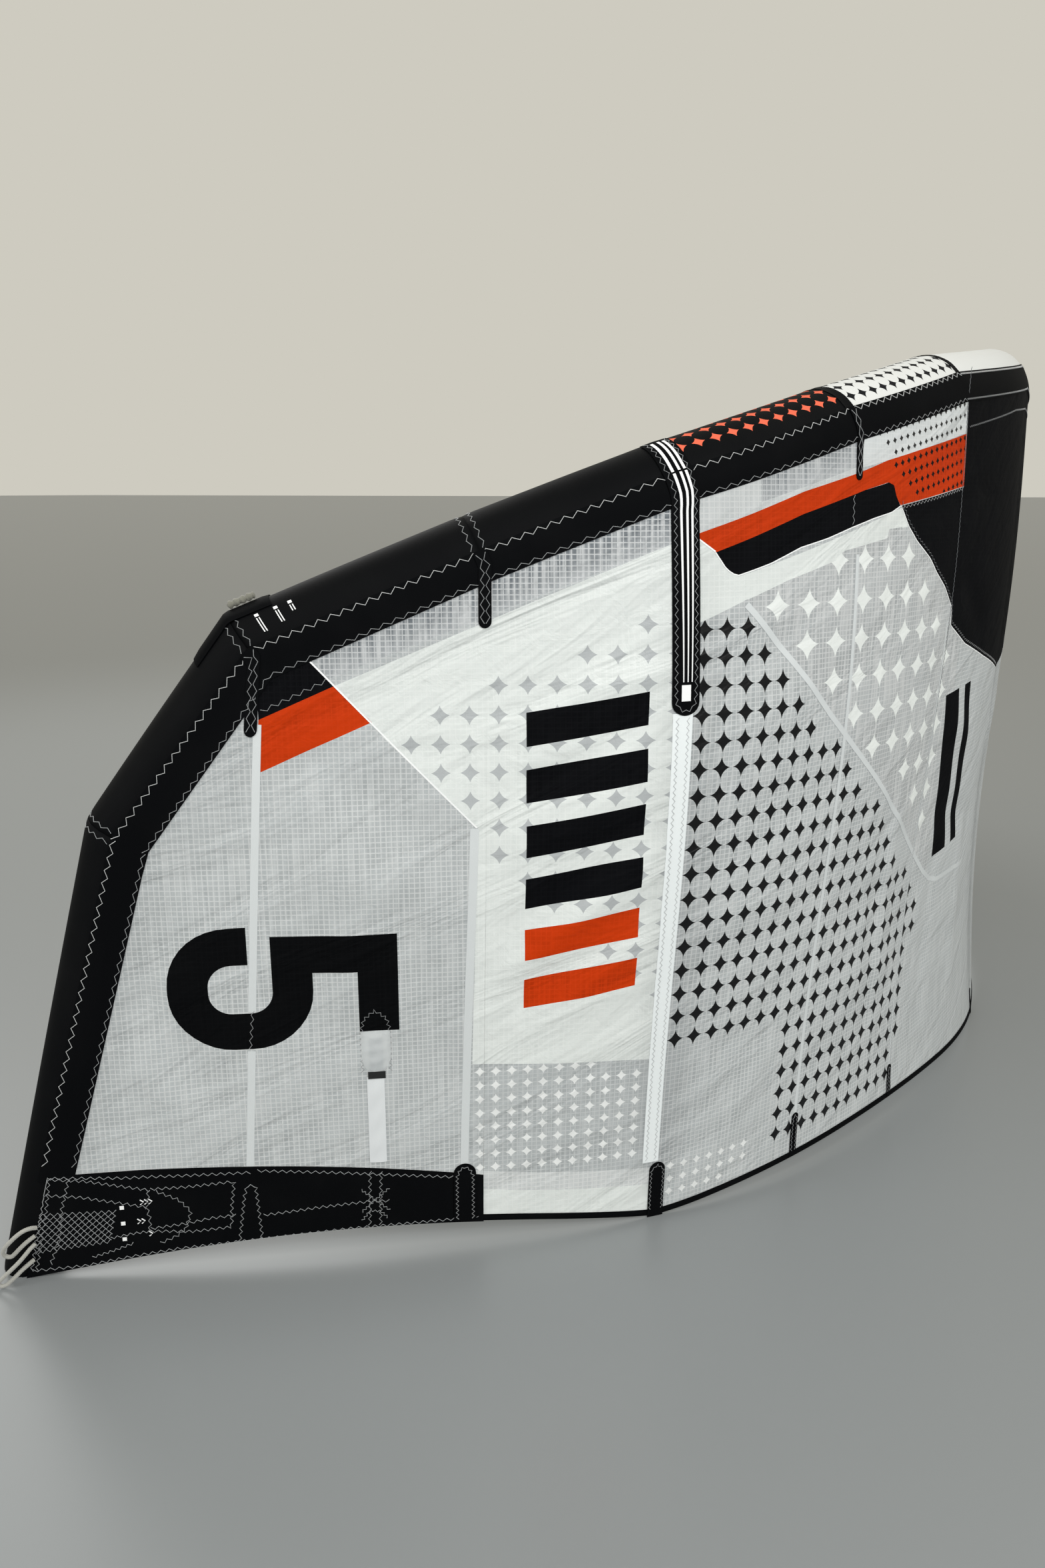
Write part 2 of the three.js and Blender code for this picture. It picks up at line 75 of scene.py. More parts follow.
# A column of a table whose first column is the distance.
def between(rows, column, at):
    for a, b in zip(rows, rows[1:]):
        if at <= b[0]:
            return lerp(a[column], b[column], (at - a[0]) / (b[0] - a[0]))
    return rows[-1][column]


def steps(low, high, size):
    count = max(1, round(abs(high - low) / size))
    return [lerp(low, high, i / count) for i in range(count + 1)]


# The way along the bottom edge.
def wayAt(at):
    turn = radians(between(kiteForm["headings"], 1, at))
    return Vector((cos(turn), sin(turn), 0))


planPoints = [Vector((0, 0, 0))]
for n in range(kiteForm["planEnd"] // kiteForm["planStep"]):
    planPoints.append(planPoints[-1] + kiteForm["planStep"] * wayAt((n + 0.5) * kiteForm["planStep"]))


# The foot of the plumb line at a distance, the way along the edge, and the way out.
def plumb(at):
    count = min(at / kiteForm["planStep"], len(planPoints) - 1.001)
    start = max(0, floor(count))
    right = wayAt(max(at, 0))
    return planPoints[start].lerp(planPoints[start + 1], count - start), right, Vector((right.y, -right.x, 0))


# From the right half in millimetres to either half in metres.
def settle(side, point):
    return Vector((side * point.x / 1000, point.y / 1000 + shiftY, point.z / 1000))


def tubeHeight(at):
    return between(joints, 1, at)


# How far the cloth stands out of the plumb line.
def clothOut(at, height):
    share = clamp(height / max(tubeHeight(at), 1))
    axis, radius, camber, reflex = (between(joints, column, at) for column in (2, 3, 4, 5))
    top = axis + radius + kiteForm["tubeGap"]
    return top * share + camber * sin(pi * share) - reflex * sin(2 * pi * share)


def onCloth(side, at, height, off):
    foot, right, out = plumb(at)
    point = foot + out * (clothOut(at, height) + off)
    point.z = height
    return settle(side, point)


# The tube's straight lengths, each between two joints, with the leans of the mitres at its ends
slopes = [atan2(b[1] - a[1], b[0] - a[0]) for a, b in zip(joints, joints[1:])]
leans = [0.0] + [(a + b) / 2 for a, b in zip(slopes, slopes[1:])] + [-pi / 2]
segments = [{"a": a, "b": b, "slope": slopes[i], "leanIn": leans[i], "leanOut": leans[i + 1],
             "long": dist(a[:2], b[:2])} for i, (a, b) in enumerate(zip(joints, joints[1:]))]


def segmentAt(at):
    return next((s for s in segments if at <= s["b"][0]), segments[-1])


# The distance along the edge at a share of a segment, for a line that far in front of its axis.
def mitred(segment, share, reach):
    slope = segment["slope"]
    ends = [segment[end][0] - reach * tan(segment[lean] - slope) * cos(slope)
            for end, lean in (("a", "leanIn"), ("b", "leanOut"))]
    return lerp(*ends, share)


# A point on the tube, at an angle from its outer side towards its front.
def onTube(side, at, angle, off, segment=None):
    segment = segment or segmentAt(at)
    a, b, slope = segment["a"], segment["b"], segment["slope"]
    share = (at - a[0]) / (b[0] - a[0])
    moved = mitred(segment, share, lerp(a[3], b[3], share) * sin(angle))
    foot, right, out = plumb(moved)
    if moved < 0:
        foot = Vector((moved, 0, 0))
    height, axis, radius = (lerp(a[n], b[n], (moved - a[0]) / (b[0] - a[0])) for n in (1, 2, 3))
    centre = foot + out * axis
    centre.z = height
    front = Vector((0, 0, cos(slope))) - right * sin(slope)
    radius += off
    return settle(side, centre + out * (radius * cos(angle)) + front * (radius * sin(angle)))


# The flat place that far below the tube's outermost line, square to the tube.
def besideTube(at, down):
    segment = segmentAt(at)
    a, b, slope = segment["a"], segment["b"], segment["slope"]
    moved = mitred(segment, (at - a[0]) / (b[0] - a[0]), -down)
    height = lerp(a[1], b[1], (moved - a[0]) / (b[0] - a[0]))
    return moved + down * sin(slope), height - down * cos(slope)


def arch(at):
    for inner, outer, rise in kiteForm["arches"]:
        if at < outer:
            return rise * sin(pi * (at - inner) / (outer - inner))
    return 0.0


def tipBandTop(at):
    return arch(at) + lerp(*kiteForm["tipBandTall"], (at - wingSeam) / (tipEnd - wingSeam))


def addObject(name, data):
    item = bpy.data.objects.new(name, data)
    bpy.context.scene.collection.objects.link(item)
    return item


# The camera stands where the photographer did
cameraView = {"place": (-2.525, -0.708, 1.11), "heading": 25.0, "down": 14.3, "film": 36, "focal": 1730, "tall": 2352}
camera = addObject("camera", bpy.data.cameras.new("camera"))
camera.data.sensor_width = cameraView["film"]
camera.data.lens = cameraView["film"] * cameraView["focal"] / cameraView["tall"]
camera.location = cameraView["place"]
heading, down = radians(cameraView["heading"]), radians(cameraView["down"])
lookAlong = Vector((cos(heading) * cos(down), sin(heading) * cos(down), -sin(down)))
camera.rotation_euler = lookAlong.to_track_quat("-Z", "Y").to_euler()
bpy.context.scene.camera = camera


# Materials: each function lays a shader and gives its output

# An sRGB hex colour turned to linear.
def linear(shade):
    parts = [int(shade[i:i + 2], 16) / 255 for i in (1, 3, 5)]
    return tuple(p / 12.92 if p <= 0.04045 else ((p + 0.055) / 1.055) ** 2.4 for p in parts) + (1.0,)


# A colour drawn towards white, or towards black by a share below nothing.
def toned(colour, share):
    return tuple(lerp(part, 1 if share > 0 else 0, abs(share)) for part in colour[:3]) + (1.0,)


# A node with its settings, its inputs' values and the outputs linked into it. It gives one of its outputs.
def addNode(tree, kind, values, output=0):
    node = tree.nodes.new("ShaderNode" + kind)
    for key, value in values.items():
        if isinstance(value, bpy.types.NodeSocket):
            tree.links.new(value, node.inputs[key])
        elif isinstance(key, str) and hasattr(node, key):
            setattr(node, key, value)
        else:
            node.inputs[key].default_value = value
    return node.outputs[output]


def dotNode(tree, source, way):
    return addNode(tree, "VectorMath", {"operation": "DOT_PRODUCT", 0: source, 1: way}, "Value")


def noiseNode(tree, source, scale, detail, roughness=0.5, distortion=0.0):
    return addNode(tree, "TexNoise", {"Vector": source, "Scale": scale, "Detail": detail, "Roughness": roughness,
                                      "Distortion": distortion})


def rangeNode(tree, source, low, high):
    return addNode(tree, "MapRange", {0: source, 1: low, 2: high})


def mixNode(tree, share, low, high):
    return addNode(tree, "Mix", {"data_type": "RGBA", 0: share, 6: low, 7: high}, 2)


def bumpNode(tree, height, strength, deepMm, under=None):
    normal = {"Normal": under} if under else {}
    return addNode(tree, "Bump", {"Height": height, "Strength": strength, "Distance": deepMm / 1000, **normal})


def clothMap(tree):
    return addNode(tree, "UVMap", {"uv_map": "cloth"})


# One where a four-pointed star is printed, each of its sides an arc about a corner of the star's cell. Only
# stars whose middle lies inside the outline show.
def starMask(tree, uv, pitch, first, outline, corner=0.5, arc=0.528, slant=0):
    lean = radians(slant)
    ways = ((cos(lean), sin(lean)), (-sin(lean), cos(lean)))
    counts = {}
    for n, ((x, y), size) in enumerate(zip(ways, pitch)):
        start = (first[0] * x + first[1] * y) / size
        counts[n] = addNode(tree, "Math", {0: dotNode(tree, uv, (x * 1000 / size, y * 1000 / size, 0)), 1: 0.5 - start})
    cells = addNode(tree, "CombineXYZ", counts)
    inCell = addNode(tree, "VectorMath", {"operation": "FRACTION", 0: cells})
    middle = addNode(tree, "VectorMath", {"operation": "SUBTRACT", 0: inCell, 1: (0.5, 0.5, 0)})
    folded = addNode(tree, "VectorMath", {"operation": "ABSOLUTE", 0: middle})
    away = addNode(tree, "VectorMath", {"operation": "DISTANCE", 0: folded, 1: (corner, corner, 0)}, "Value")
    mask = addNode(tree, "Math", {"operation": "GREATER_THAN", 0: away, 1: arc})
    snapped = addNode(tree, "VectorMath", {"operation": "FLOOR", 0: cells})
    edges = list(zip(outline, outline[1:] + outline[:1]))
    turn = 1 if sum(a[0] * b[1] - b[0] * a[1] for a, b in edges) > 0 else -1
    for a, b in edges:
        # The half plane of this edge, in whole cells from the first star
        x, y = (a[1] - b[1]) * turn, (b[0] - a[0]) * turn
        perCell = [size * (x * way[0] + y * way[1]) for way, size in zip(ways, pitch)]
        inside = addNode(tree, "Math", {"operation": "GREATER_THAN", 0: dotNode(tree, snapped, (*perCell, 0)),
                                        1: x * (a[0] - first[0]) + y * (a[1] - first[1])})
        mask = addNode(tree, "Math", {"operation": "MULTIPLY", 0: mask, 1: inside})
    return mask


def printStars(tree, uv, colour, stars):
    if not stars:
        return colour
    places = {key: value for key, value in stars.items() if key != "shade"}
    return mixNode(tree, starMask(tree, uv, **places), colour, linear(stars["shade"]))


# Ripstop nylon, coated and printed: a thin bright cloth whose threads stand out in a square grid and in
# light streaks along the warp, with long soft wrinkles whose hollows carry painted shade. The grid is drawn a little
# coarse so that it shows.
ripstop = {"gridMm": 7.3, "lineMm": 2.4, "weaveMm": 0.2, "streakMm": 6.0, "streakScale": 9, "streaks": (0.42, 0.7),
           "wrinkleMm": 9, "wrinkleLean": 27, "wrinkleScales": (3.2, 15), "shades": (0.36, 0.62), "crumpleMm": 2.0,
           "crumpleScale": 26.0, "roughness": 0.4, "inkRoughness": 0.75}


def sailCloth(tree, shade, shine=0.3, stars=None, gridLift=0.5, patchy=0.16, streaky=0.5, gloss=0.35, fade=None):
    uv, base = clothMap(tree), linear(shade)
    grid = addNode(tree, "TexBrick", {
        "offset": 0.0, "squash": 1.0, "Vector": uv, "Scale": 1.0, "Mortar Size": ripstop["lineMm"] / 2000,
        "Mortar Smooth": 1.0, "Brick Width": ripstop["gridMm"] / 1000, "Row Height": ripstop["gridMm"] / 1000}, "Fac")
    stretched = addNode(tree, "VectorMath", {"operation": "MULTIPLY", 0: uv,
                                             1: (1000 / ripstop["streakMm"], ripstop["streakScale"], 1)})
    streaks = rangeNode(tree, noiseNode(tree, stretched, 1.0, 2.0), *ripstop["streaks"])
    crumple = noiseNode(tree, uv, ripstop["crumpleScale"], 4.0, 0.6, 0.8)
    lean, (long, short) = radians(ripstop["wrinkleLean"]), ripstop["wrinkleScales"]
    along = addNode(tree, "CombineXYZ", {0: dotNode(tree, uv, (cos(lean) * long, -sin(lean) * long, 0)),
                                         1: dotNode(tree, uv, (sin(lean) * short, cos(lean) * short, 0))})
    wrinkle = noiseNode(tree, along, 1.0, 3.0, 0.55, 1.1)
    # Painted shade: darker in the wrinkles' hollows, by the same noise that bends them
    colour = mixNode(tree, rangeNode(tree, wrinkle, *ripstop["shades"]), toned(base, -patchy), base)
    if fade:
        # Painted shade: darker towards the tube, whose shade lies behind it
        share = rangeNode(tree, dotNode(tree, uv, fade["way"]), *fade["range"])
        colour = mixNode(tree, share, colour, linear(fade["shade"]))
    colour = mixNode(tree, streaks, colour, toned(base, gridLift * streaky / 2))
    colour = printStars(tree, uv, mixNode(tree, grid, colour, toned(base, gridLift / 2)), stars)
    folds = bumpNode(tree, wrinkle, 1.0, ripstop["wrinkleMm"], bumpNode(tree, grid, 0.25, ripstop["weaveMm"]))
    skin = {"Normal": bumpNode(tree, crumple, 1.0, ripstop["crumpleMm"], folds)}
    cloth = addNode(tree, "BsdfPrincipled", {
        "Base Color": colour, "Specular IOR Level": gloss,
        "Roughness": ripstop["roughness" if gloss > 0.2 else "inkRoughness"], **skin})
    glow = addNode(tree, "BsdfTranslucent", {"Color": colour, **skin})
    return addNode(tree, "MixShader", {0: shine, 1: cloth, 2: glow})


# Woven polyester for the tubes and heavy polyester for the bands: matt, with a close thread pattern and soft scuffs
polyester = {"scuffScale": 9.0, "scuffs": (0.45, 0.75), "dentScale": 22.0, "dentMm": 0.4}


def heavyCloth(tree, shade, threadMm=1.3, roughness=0.6, stars=None, bumpMm=0.1, wear=0.004, gloss=0.05):
    uv, base = clothMap(tree), linear(shade)
    threads = addNode(tree, "TexChecker", {"Vector": uv, "Scale": 1000 / threadMm}, "Fac")
    scuffs = rangeNode(tree, noiseNode(tree, uv, polyester["scuffScale"], 6.0, 0.6), *polyester["scuffs"])
    dents = noiseNode(tree, uv, polyester["dentScale"], 3.0)
    colour = printStars(tree, uv, mixNode(tree, scuffs, base, toned(base, wear * 0.35)), stars)
    relief = bumpNode(tree, dents, 0.5, polyester["dentMm"], bumpNode(tree, threads, 0.4, bumpMm))
    return addNode(tree, "BsdfPrincipled", {"Base Color": colour, "Normal": relief, "Roughness": roughness,
                                            "Specular IOR Level": gloss})


# Twisted polyester thread and braided cord: matt, with fine fibres across
def threadFinish(tree, shade, fibreMm=0.8, roughness=0.8):
    fibres = noiseNode(tree, addNode(tree, "TexCoord", {}, "Object"), 1000 / fibreMm, 2.0, 0.7)
    colour = mixNode(tree, fibres, toned(linear(shade), -0.45), linear(shade))
    return addNode(tree, "BsdfPrincipled", {"Base Color": colour, "Normal": bumpNode(tree, fibres, 0.8, 0.4),
                                            "Roughness": roughness, "Sheen Weight": 0.4})


# Clear film over the batten's end: thin glossy plastic, crinkled
def filmFinish(tree, shade, cover):
    crinkle = addNode(tree, "TexVoronoi", {"Vector": clothMap(tree), "Scale": 90.0, "Randomness": 1.0})
    return addNode(tree, "BsdfPrincipled", {"Base Color": linear(shade), "Roughness": 0.16, "Alpha": cover,
                                            "Normal": bumpNode(tree, crinkle, 0.7, 1.5)})


# Moulded black nylon for the small fittings: faint grain, slight shine
def nylonFinish(tree, shade, grainMm=0.7):
    grain = noiseNode(tree, addNode(tree, "TexCoord", {}, "Object"), 1000 / grainMm, 3.0)
    return addNode(tree, "BsdfPrincipled", {"Base Color": linear(shade), "Roughness": 0.42, "IOR": 1.53,
                                            "Normal": bumpNode(tree, grain, 0.4, 0.1)})


def newMaterial(name, layShader, **values):
    material = bpy.data.materials.new(name)
    material.use_nodes = True
    tree = material.node_tree
    tree.nodes.clear()
    output = tree.nodes.new("ShaderNodeOutputMaterial")
    tree.links.new(layShader(tree, **values), output.inputs["Surface"])
    return material


# Inks and cloths that several finishes share
grey = dict(shade="#bfc5c8", gridLift=0.75)
white = dict(shade="#e6eceb", shine=0.25, gridLift=0.3, patchy=0.05)
orange = dict(shade="#cf3a00", shine=0.25, gridLift=0.004, patchy=0.2, gloss=0.16)
black = dict(shade="#090a0c")
paleCloth = dict(shade="#d6d8d7", roughness=0.5, wear=0.0)
tapeCloth = dict(threadMm=1.1, roughness=0.4, wear=0.0)
blackStars = dict(pitch=(31.5, 38.6), first=(1071, 852), shade="#0d0e11", arc=0.502)
finishRows = {
    sailCloth: {
        "greyRipstop": dict(grey, streaky=0.35),
        # Painted shade: the cloth under the edge band, dark where the tube's shadow shows through
        "shadedRipstop": dict(shade="#b4b9bd", shine=0.2, gridLift=0.6, streaky=0.9, fade={
            "way": (0.36, 0.933, 0), "range": (1.364, 1.404), "shade": "#6e757b"}),
        "paleRipstop": dict(shade="#d6dbdd", gridLift=0.7, patchy=0.08),
        "whiteRipstop": white,
        "orangeRipstop": orange,
        "blackRipstop": dict(shade="#0a0b0e", shine=0.02, gridLift=0.002, patchy=0.3, gloss=0.04),
        "figureBlack": dict(shade="#08090b", shine=0.02, gridLift=0.0015, gloss=0.04),
        "whiteGreyStars": dict(white, stars=dict(
            pitch=(38.7, 38.9), first=(1414, 822), shade="#b9bec1", arc=0.524,
            outline=[(1098, 973.5), (1468, 800), (1414, 724), (1337, 616), (1098, 386)])),
        "smallWhiteStars": dict(shade="#bcc2c5", stars=dict(
            pitch=(23.5, 23.5), first=(1363, 286), shade="#f4f7f8", arc=0.518,
            outline=[(1376, 294), (1108, 282), (1108, 104), (1376, 122)])),
        "lowWhiteStars": dict(grey, stars=dict(
            pitch=(23.5, 23.5), first=(1062, 86), shade="#f4f7f8",
            outline=[(1078, 92), (1078, 26), (938, 40), (884, 104)])),
        "blackStarField": dict(grey, stars=dict(
            blackStars, outline=[(1086, 945), (1000, 945), (872, 795), (872, 300), (1086, 300)])),
        "lowStarField": dict(grey, stars=dict(
            blackStars, outline=[(872, 793), (462, 404), (512, 110), (528, 46), (872, 46)])),
        "largeWhiteStars": dict(shade="#bbc0c3", gridLift=0.75, streaky=0.8, stars=dict(
            pitch=(58.5, 57.5), first=(900, 955), shade="#f4f9f8", arc=0.513,
            outline=[(1000, 985), (800, 1032), (680, 1032), (590, 985), (510, 925), (450, 840), (440, 480),
                     (470, 470), (830, 815), (985, 950)])),
        "orangeBlackStars": dict(orange, stars=dict(
            pitch=(18.1, 16.8), first=(709, 1146), slant=-11.1, shade="#15110f", corner=0.7, arc=0.8,
            outline=[(722, 1150), (468, 1204), (468, 1118), (650, 1096)])),
        "whiteBlackStars": dict(shade="#dfe4e6", shine=0.25, patchy=0.05, stars=dict(
            pitch=(18.1, 16.6), first=(752, 1190), slant=-11.1, shade="#131418", corner=0.7, arc=0.815,
            outline=[(762, 1196), (480, 1252), (480, 1200), (716, 1156)])),
    },
    heavyCloth: {
        "blackPolyester": black,
        "coralStarPolyester": dict(black, stars=dict(
            pitch=(26.9, 26), first=(1060.5, 65), shade="#e06a50", corner=0.6, arc=0.643,
            outline=[(1120, 52), (790, 52), (790, 190), (1120, 190)])),
        "blackStarPolyester": dict(paleCloth, stars=dict(
            pitch=(26.7, 26), first=(786.3, 61), shade="#131418", corner=0.55, arc=0.567,
            outline=[(806, 50), (480, 50), (480, 150), (806, 150)])),
        "whitePolyester": paleCloth,
        "blackWebbing": dict(shade="#08090b", threadMm=1.6, roughness=0.7, bumpMm=0.2, gloss=0.03),
        "battenShade": dict(shade="#8d979e", threadMm=1.4, roughness=0.5, wear=0.0, gloss=0.2),
        "paleTape": dict(tapeCloth, shade="#d9dde0"),
        "seamTape": dict(tapeCloth, shade="#ced3d5", gloss=0.3),
        "strutTape": dict(tapeCloth, shade="#e6ecee", gloss=0.3),
        "whiteMark": dict(shade="#eff1f2", threadMm=1.1, roughness=0.5, wear=0.0),
    },
    filmFinish: {"clearFilm": dict(shade="#e4e8ea", cover=0.42)},
    nylonFinish: {"blackNylon": dict(shade="#101113")},
    threadFinish: {
        "paleThread": dict(shade="#d2d5d6"),
        "greyThread": dict(shade="#9ea2a5"),
        "dimThread": dict(shade="#6d7175"),
        "greyBraid": dict(shade="#b4b4ae", fibreMm=1.2, roughness=0.9),
        "bridleBraid": dict(shade="#85857a", fibreMm=1.6, roughness=0.9),
    },
}
finishes = {name: newMaterial(name, layShader, **values)
            for layShader, rows in finishRows.items() for name, values in rows.items()}
print("the finishes are ready")


# The solid model's name for a piece, where the sail's panels and the batten's pocket are called otherwise.
def nodeName(name):
    snake = "".join("_" + letter.lower() if letter.isupper() else letter for letter in name)
    return snake.replace("sail_", "panel_").replace("batten_", "")


# A piece rides the kite's one body. One that stands in for its solid says so, and a trim does not.
def finishPiece(piece, standsIn=False):
    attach(piece, "root")
    if standsIn:
        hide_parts(nodeName(piece.name))
    return piece


# The tips' attachment loops: braided cord along the routes of the solid model
loopCord = {
    "diameter": 6.0,
    "overBand": 2.4,
    "routes": {
        "loopUpper": [
            (2004, 84, 2.9), (2011, 87, 8), (2019, 86, 11), (2028, 81, 13), (2037, 73, 13), (2045, 64, 11),
            (2050, 56, 8), (2052, 48, 5), (2049, 42, 3), (2043, 41, 3.5), (2037, 46, 5.5), (2030, 54, 8),
            (2022, 62, 8.5), (2014, 68, 7), (2007, 71, 2.9)],
        "loopLower": [
            (2008, 58, 2.9), (2014, 54, 8), (2021, 47, 12), (2029, 39, 15), (2038, 31, 17), (2047, 23, 18),
            (2055, 15, 18), (2060, 9, 17.5), (2057, 4.5, 17), (2050, 5, 17), (2043, 10, 16.5), (2035, 17, 15.5),
            (2027, 24, 13), (2019, 29, 9), (2012, 32, 2.9)],
    },
}


def loopPoint(side, along, up, off):
    foot, right, out = plumb(tipEnd)
    point = onCloth(side, min(along, tipEnd), up, off + loopCord["overBand"])
    return point + Vector((side * right.x, right.y, 0)) * (max(0, along - tipEnd) / 1000)


for side, suffix in sides.items():
    for name, route in loopCord["routes"].items():
        points = [loopPoint(side, *stop) for stop in route]
        curve = bpy.data.curves.new(name + suffix, "CURVE")
        curve.dimensions = "3D"
        curve.bevel_depth = loopCord["diameter"] / 2000
        curve.bevel_resolution = 4
        curve.use_fill_caps = True
        curve.resolution_u = 8
        spline = curve.splines.new("BEZIER")
        spline.bezier_points.add(len(points) - 1)
        for knot, point in zip(spline.bezier_points, points):
            knot.co = point
            knot.handle_left_type = knot.handle_right_type = "AUTO"
        curve.materials.append(finishes["greyBraid"])
        loop = finishPiece(addObject(curve.name, curve), True)
        length = sum((b - a).length for a, b in zip(points, points[1:]))
        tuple(points[0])
print("the tip loops are laid")


def meshObject(name, bm, materials, thickness=0.0):
    if thickness:
        # The cut edges stay crisp
        for edge in bm.edges:
            edge.smooth = edge.smooth and not edge.is_boundary
    mesh = bpy.data.meshes.new(name)
    bm.to_mesh(mesh)
    bm.free()
    for material in materials:
        mesh.materials.append(finishes[material])
    piece = addObject(name, mesh)
    if thickness:
        wall = piece.modifiers.new("thickness", "SOLIDIFY")
        wall.thickness = thickness / 1000
        wall.offset = 1.0
    return piece


# Joins a tube's lengths and closes its ends.
def closeTube(bm):
    bmesh.ops.remove_doubles(bm, verts=bm.verts[:], dist=0.00005)
    bmesh.ops.holes_fill(bm, edges=[e for e in bm.edges if e.is_boundary], sides=0)
    bmesh.ops.recalc_face_normals(bm, faces=bm.faces[:])


# A grid of cloth whose corners are put in place by place(column, row), with the cloth map from uvPlace. Its
# columns run along the edge and its rows run up.
def clothGrid(name, columns, rows, place, uvPlace, finish, thickness=0.0, flip=False, closed=False):
    bm = bmesh.new()
    wide, tall = len(columns) - 1, len(rows) - 1
    bmesh.ops.create_grid(bm, x_segments=wide, y_segments=tall, size=0.5)
    uvLayer = bm.loops.layers.uv.new("cloth")
    for vert in bm.verts:
        column, row = columns[round((vert.co.x + 0.5) * wide)], rows[round((vert.co.y + 0.5) * tall)]
        u, v = uvPlace(column, row)
        for loop in vert.link_loops:
            loop[uvLayer].uv = (u / 1000, v / 1000)
        vert.co = place(column, row)
    for face in bm.faces:
        face.smooth = True
    if flip:
        bmesh.ops.reverse_faces(bm, faces=bm.faces[:])
    if closed:
        closeTube(bm)
    return meshObject(name, bm, [finish], thickness)


# Every sheet with its cut size in millimetres, and the trims sewn to it.
sheetRows = {}
leastCover = 0.31  # of the cut size's rectangle


def noteSheet(piece, wide, tall, held, restsOn, area):
    wide, tall = wide / 1000, tall / 1000
    sheetRows[piece.name] = {"piece": piece, "flat": (wide, tall), "held": held, "restsOn": [nodeName(restsOn)],
                             "area": clamp(area, leastCover * wide * tall, wide * tall), "trims": []}


# A sheet laid by place(side, column, row).
def sew(name, side, columns, rows, place, uvPlace, thick, flat, restsOn, held="stretched", finish="blackWebbing"):
    piece = clothGrid(name, columns, rows, lambda column, row: place(side, column, row), uvPlace, finish, thick,
                      flip=side < 0)
    finishPiece(piece, True)
    noteSheet(piece, *flat, held, restsOn, sum(p.area for p in piece.data.polygons))


# The black band that closes the sail onto the tube: distance, reach below and above the tube's outer line
edgeBand = {
    "rows": [(0, 4, 46), (480, 4, 45), (800, 6, 43), (1098, 12, 31), (1352, 22, 20), (1652, 34, 13), (1846, 42, 9),
             (2030, 38, 9)],
    "end": 1987, "columnMm": 12, "rowShare": 0.1, "onCloth": 1.3, "onSeam": 1.9, "onTube": 0.9, "thick": 0.8,
    "flat": (2320, 51),
}


def bandEdges(at):
    return between(edgeBand["rows"], 1, at), between(edgeBand["rows"], 2, at)


# The sail: panels cut from ripstop, printed in blocks of colour and star repeats
sail = {
    "cellMm": 9, "off": 0.9, "underBand": 8, "inBinding": 4, "underTube": 6, "tightMm": 45,
    # the outer and the inner seam's places at the foot and at the head
    "panels": [
        {"name": "Tip", "outer": (1980, 1980), "inner": (1704, 1652), "bulge": 3},
        {"name": "Wing", "outer": (1704, 1652), "inner": (1358, 1352), "bulge": 4},
        {"name": "Strut", "outer": (1358, 1352), "inner": (1085, 1098), "bulge": 3},
        {"name": "Inner", "outer": (1085, 1098), "inner": (806, 800), "bulge": 4},
        {"name": "Crown", "outer": (806, 800), "inner": (521, 480), "bulge": 4},
        {"name": "Middle", "outer": (521, 480), "inner": (0, 0), "bulge": 4},
    ],
}

# The lower edge of the black crown
crownEdge = [(693, 1087), (670, 1057), (642, 1034), (592, 1005), (566, 983), (525, 957), (486, 923), (480, 891),
             (407, 854), (288, 819), (130, 779)]
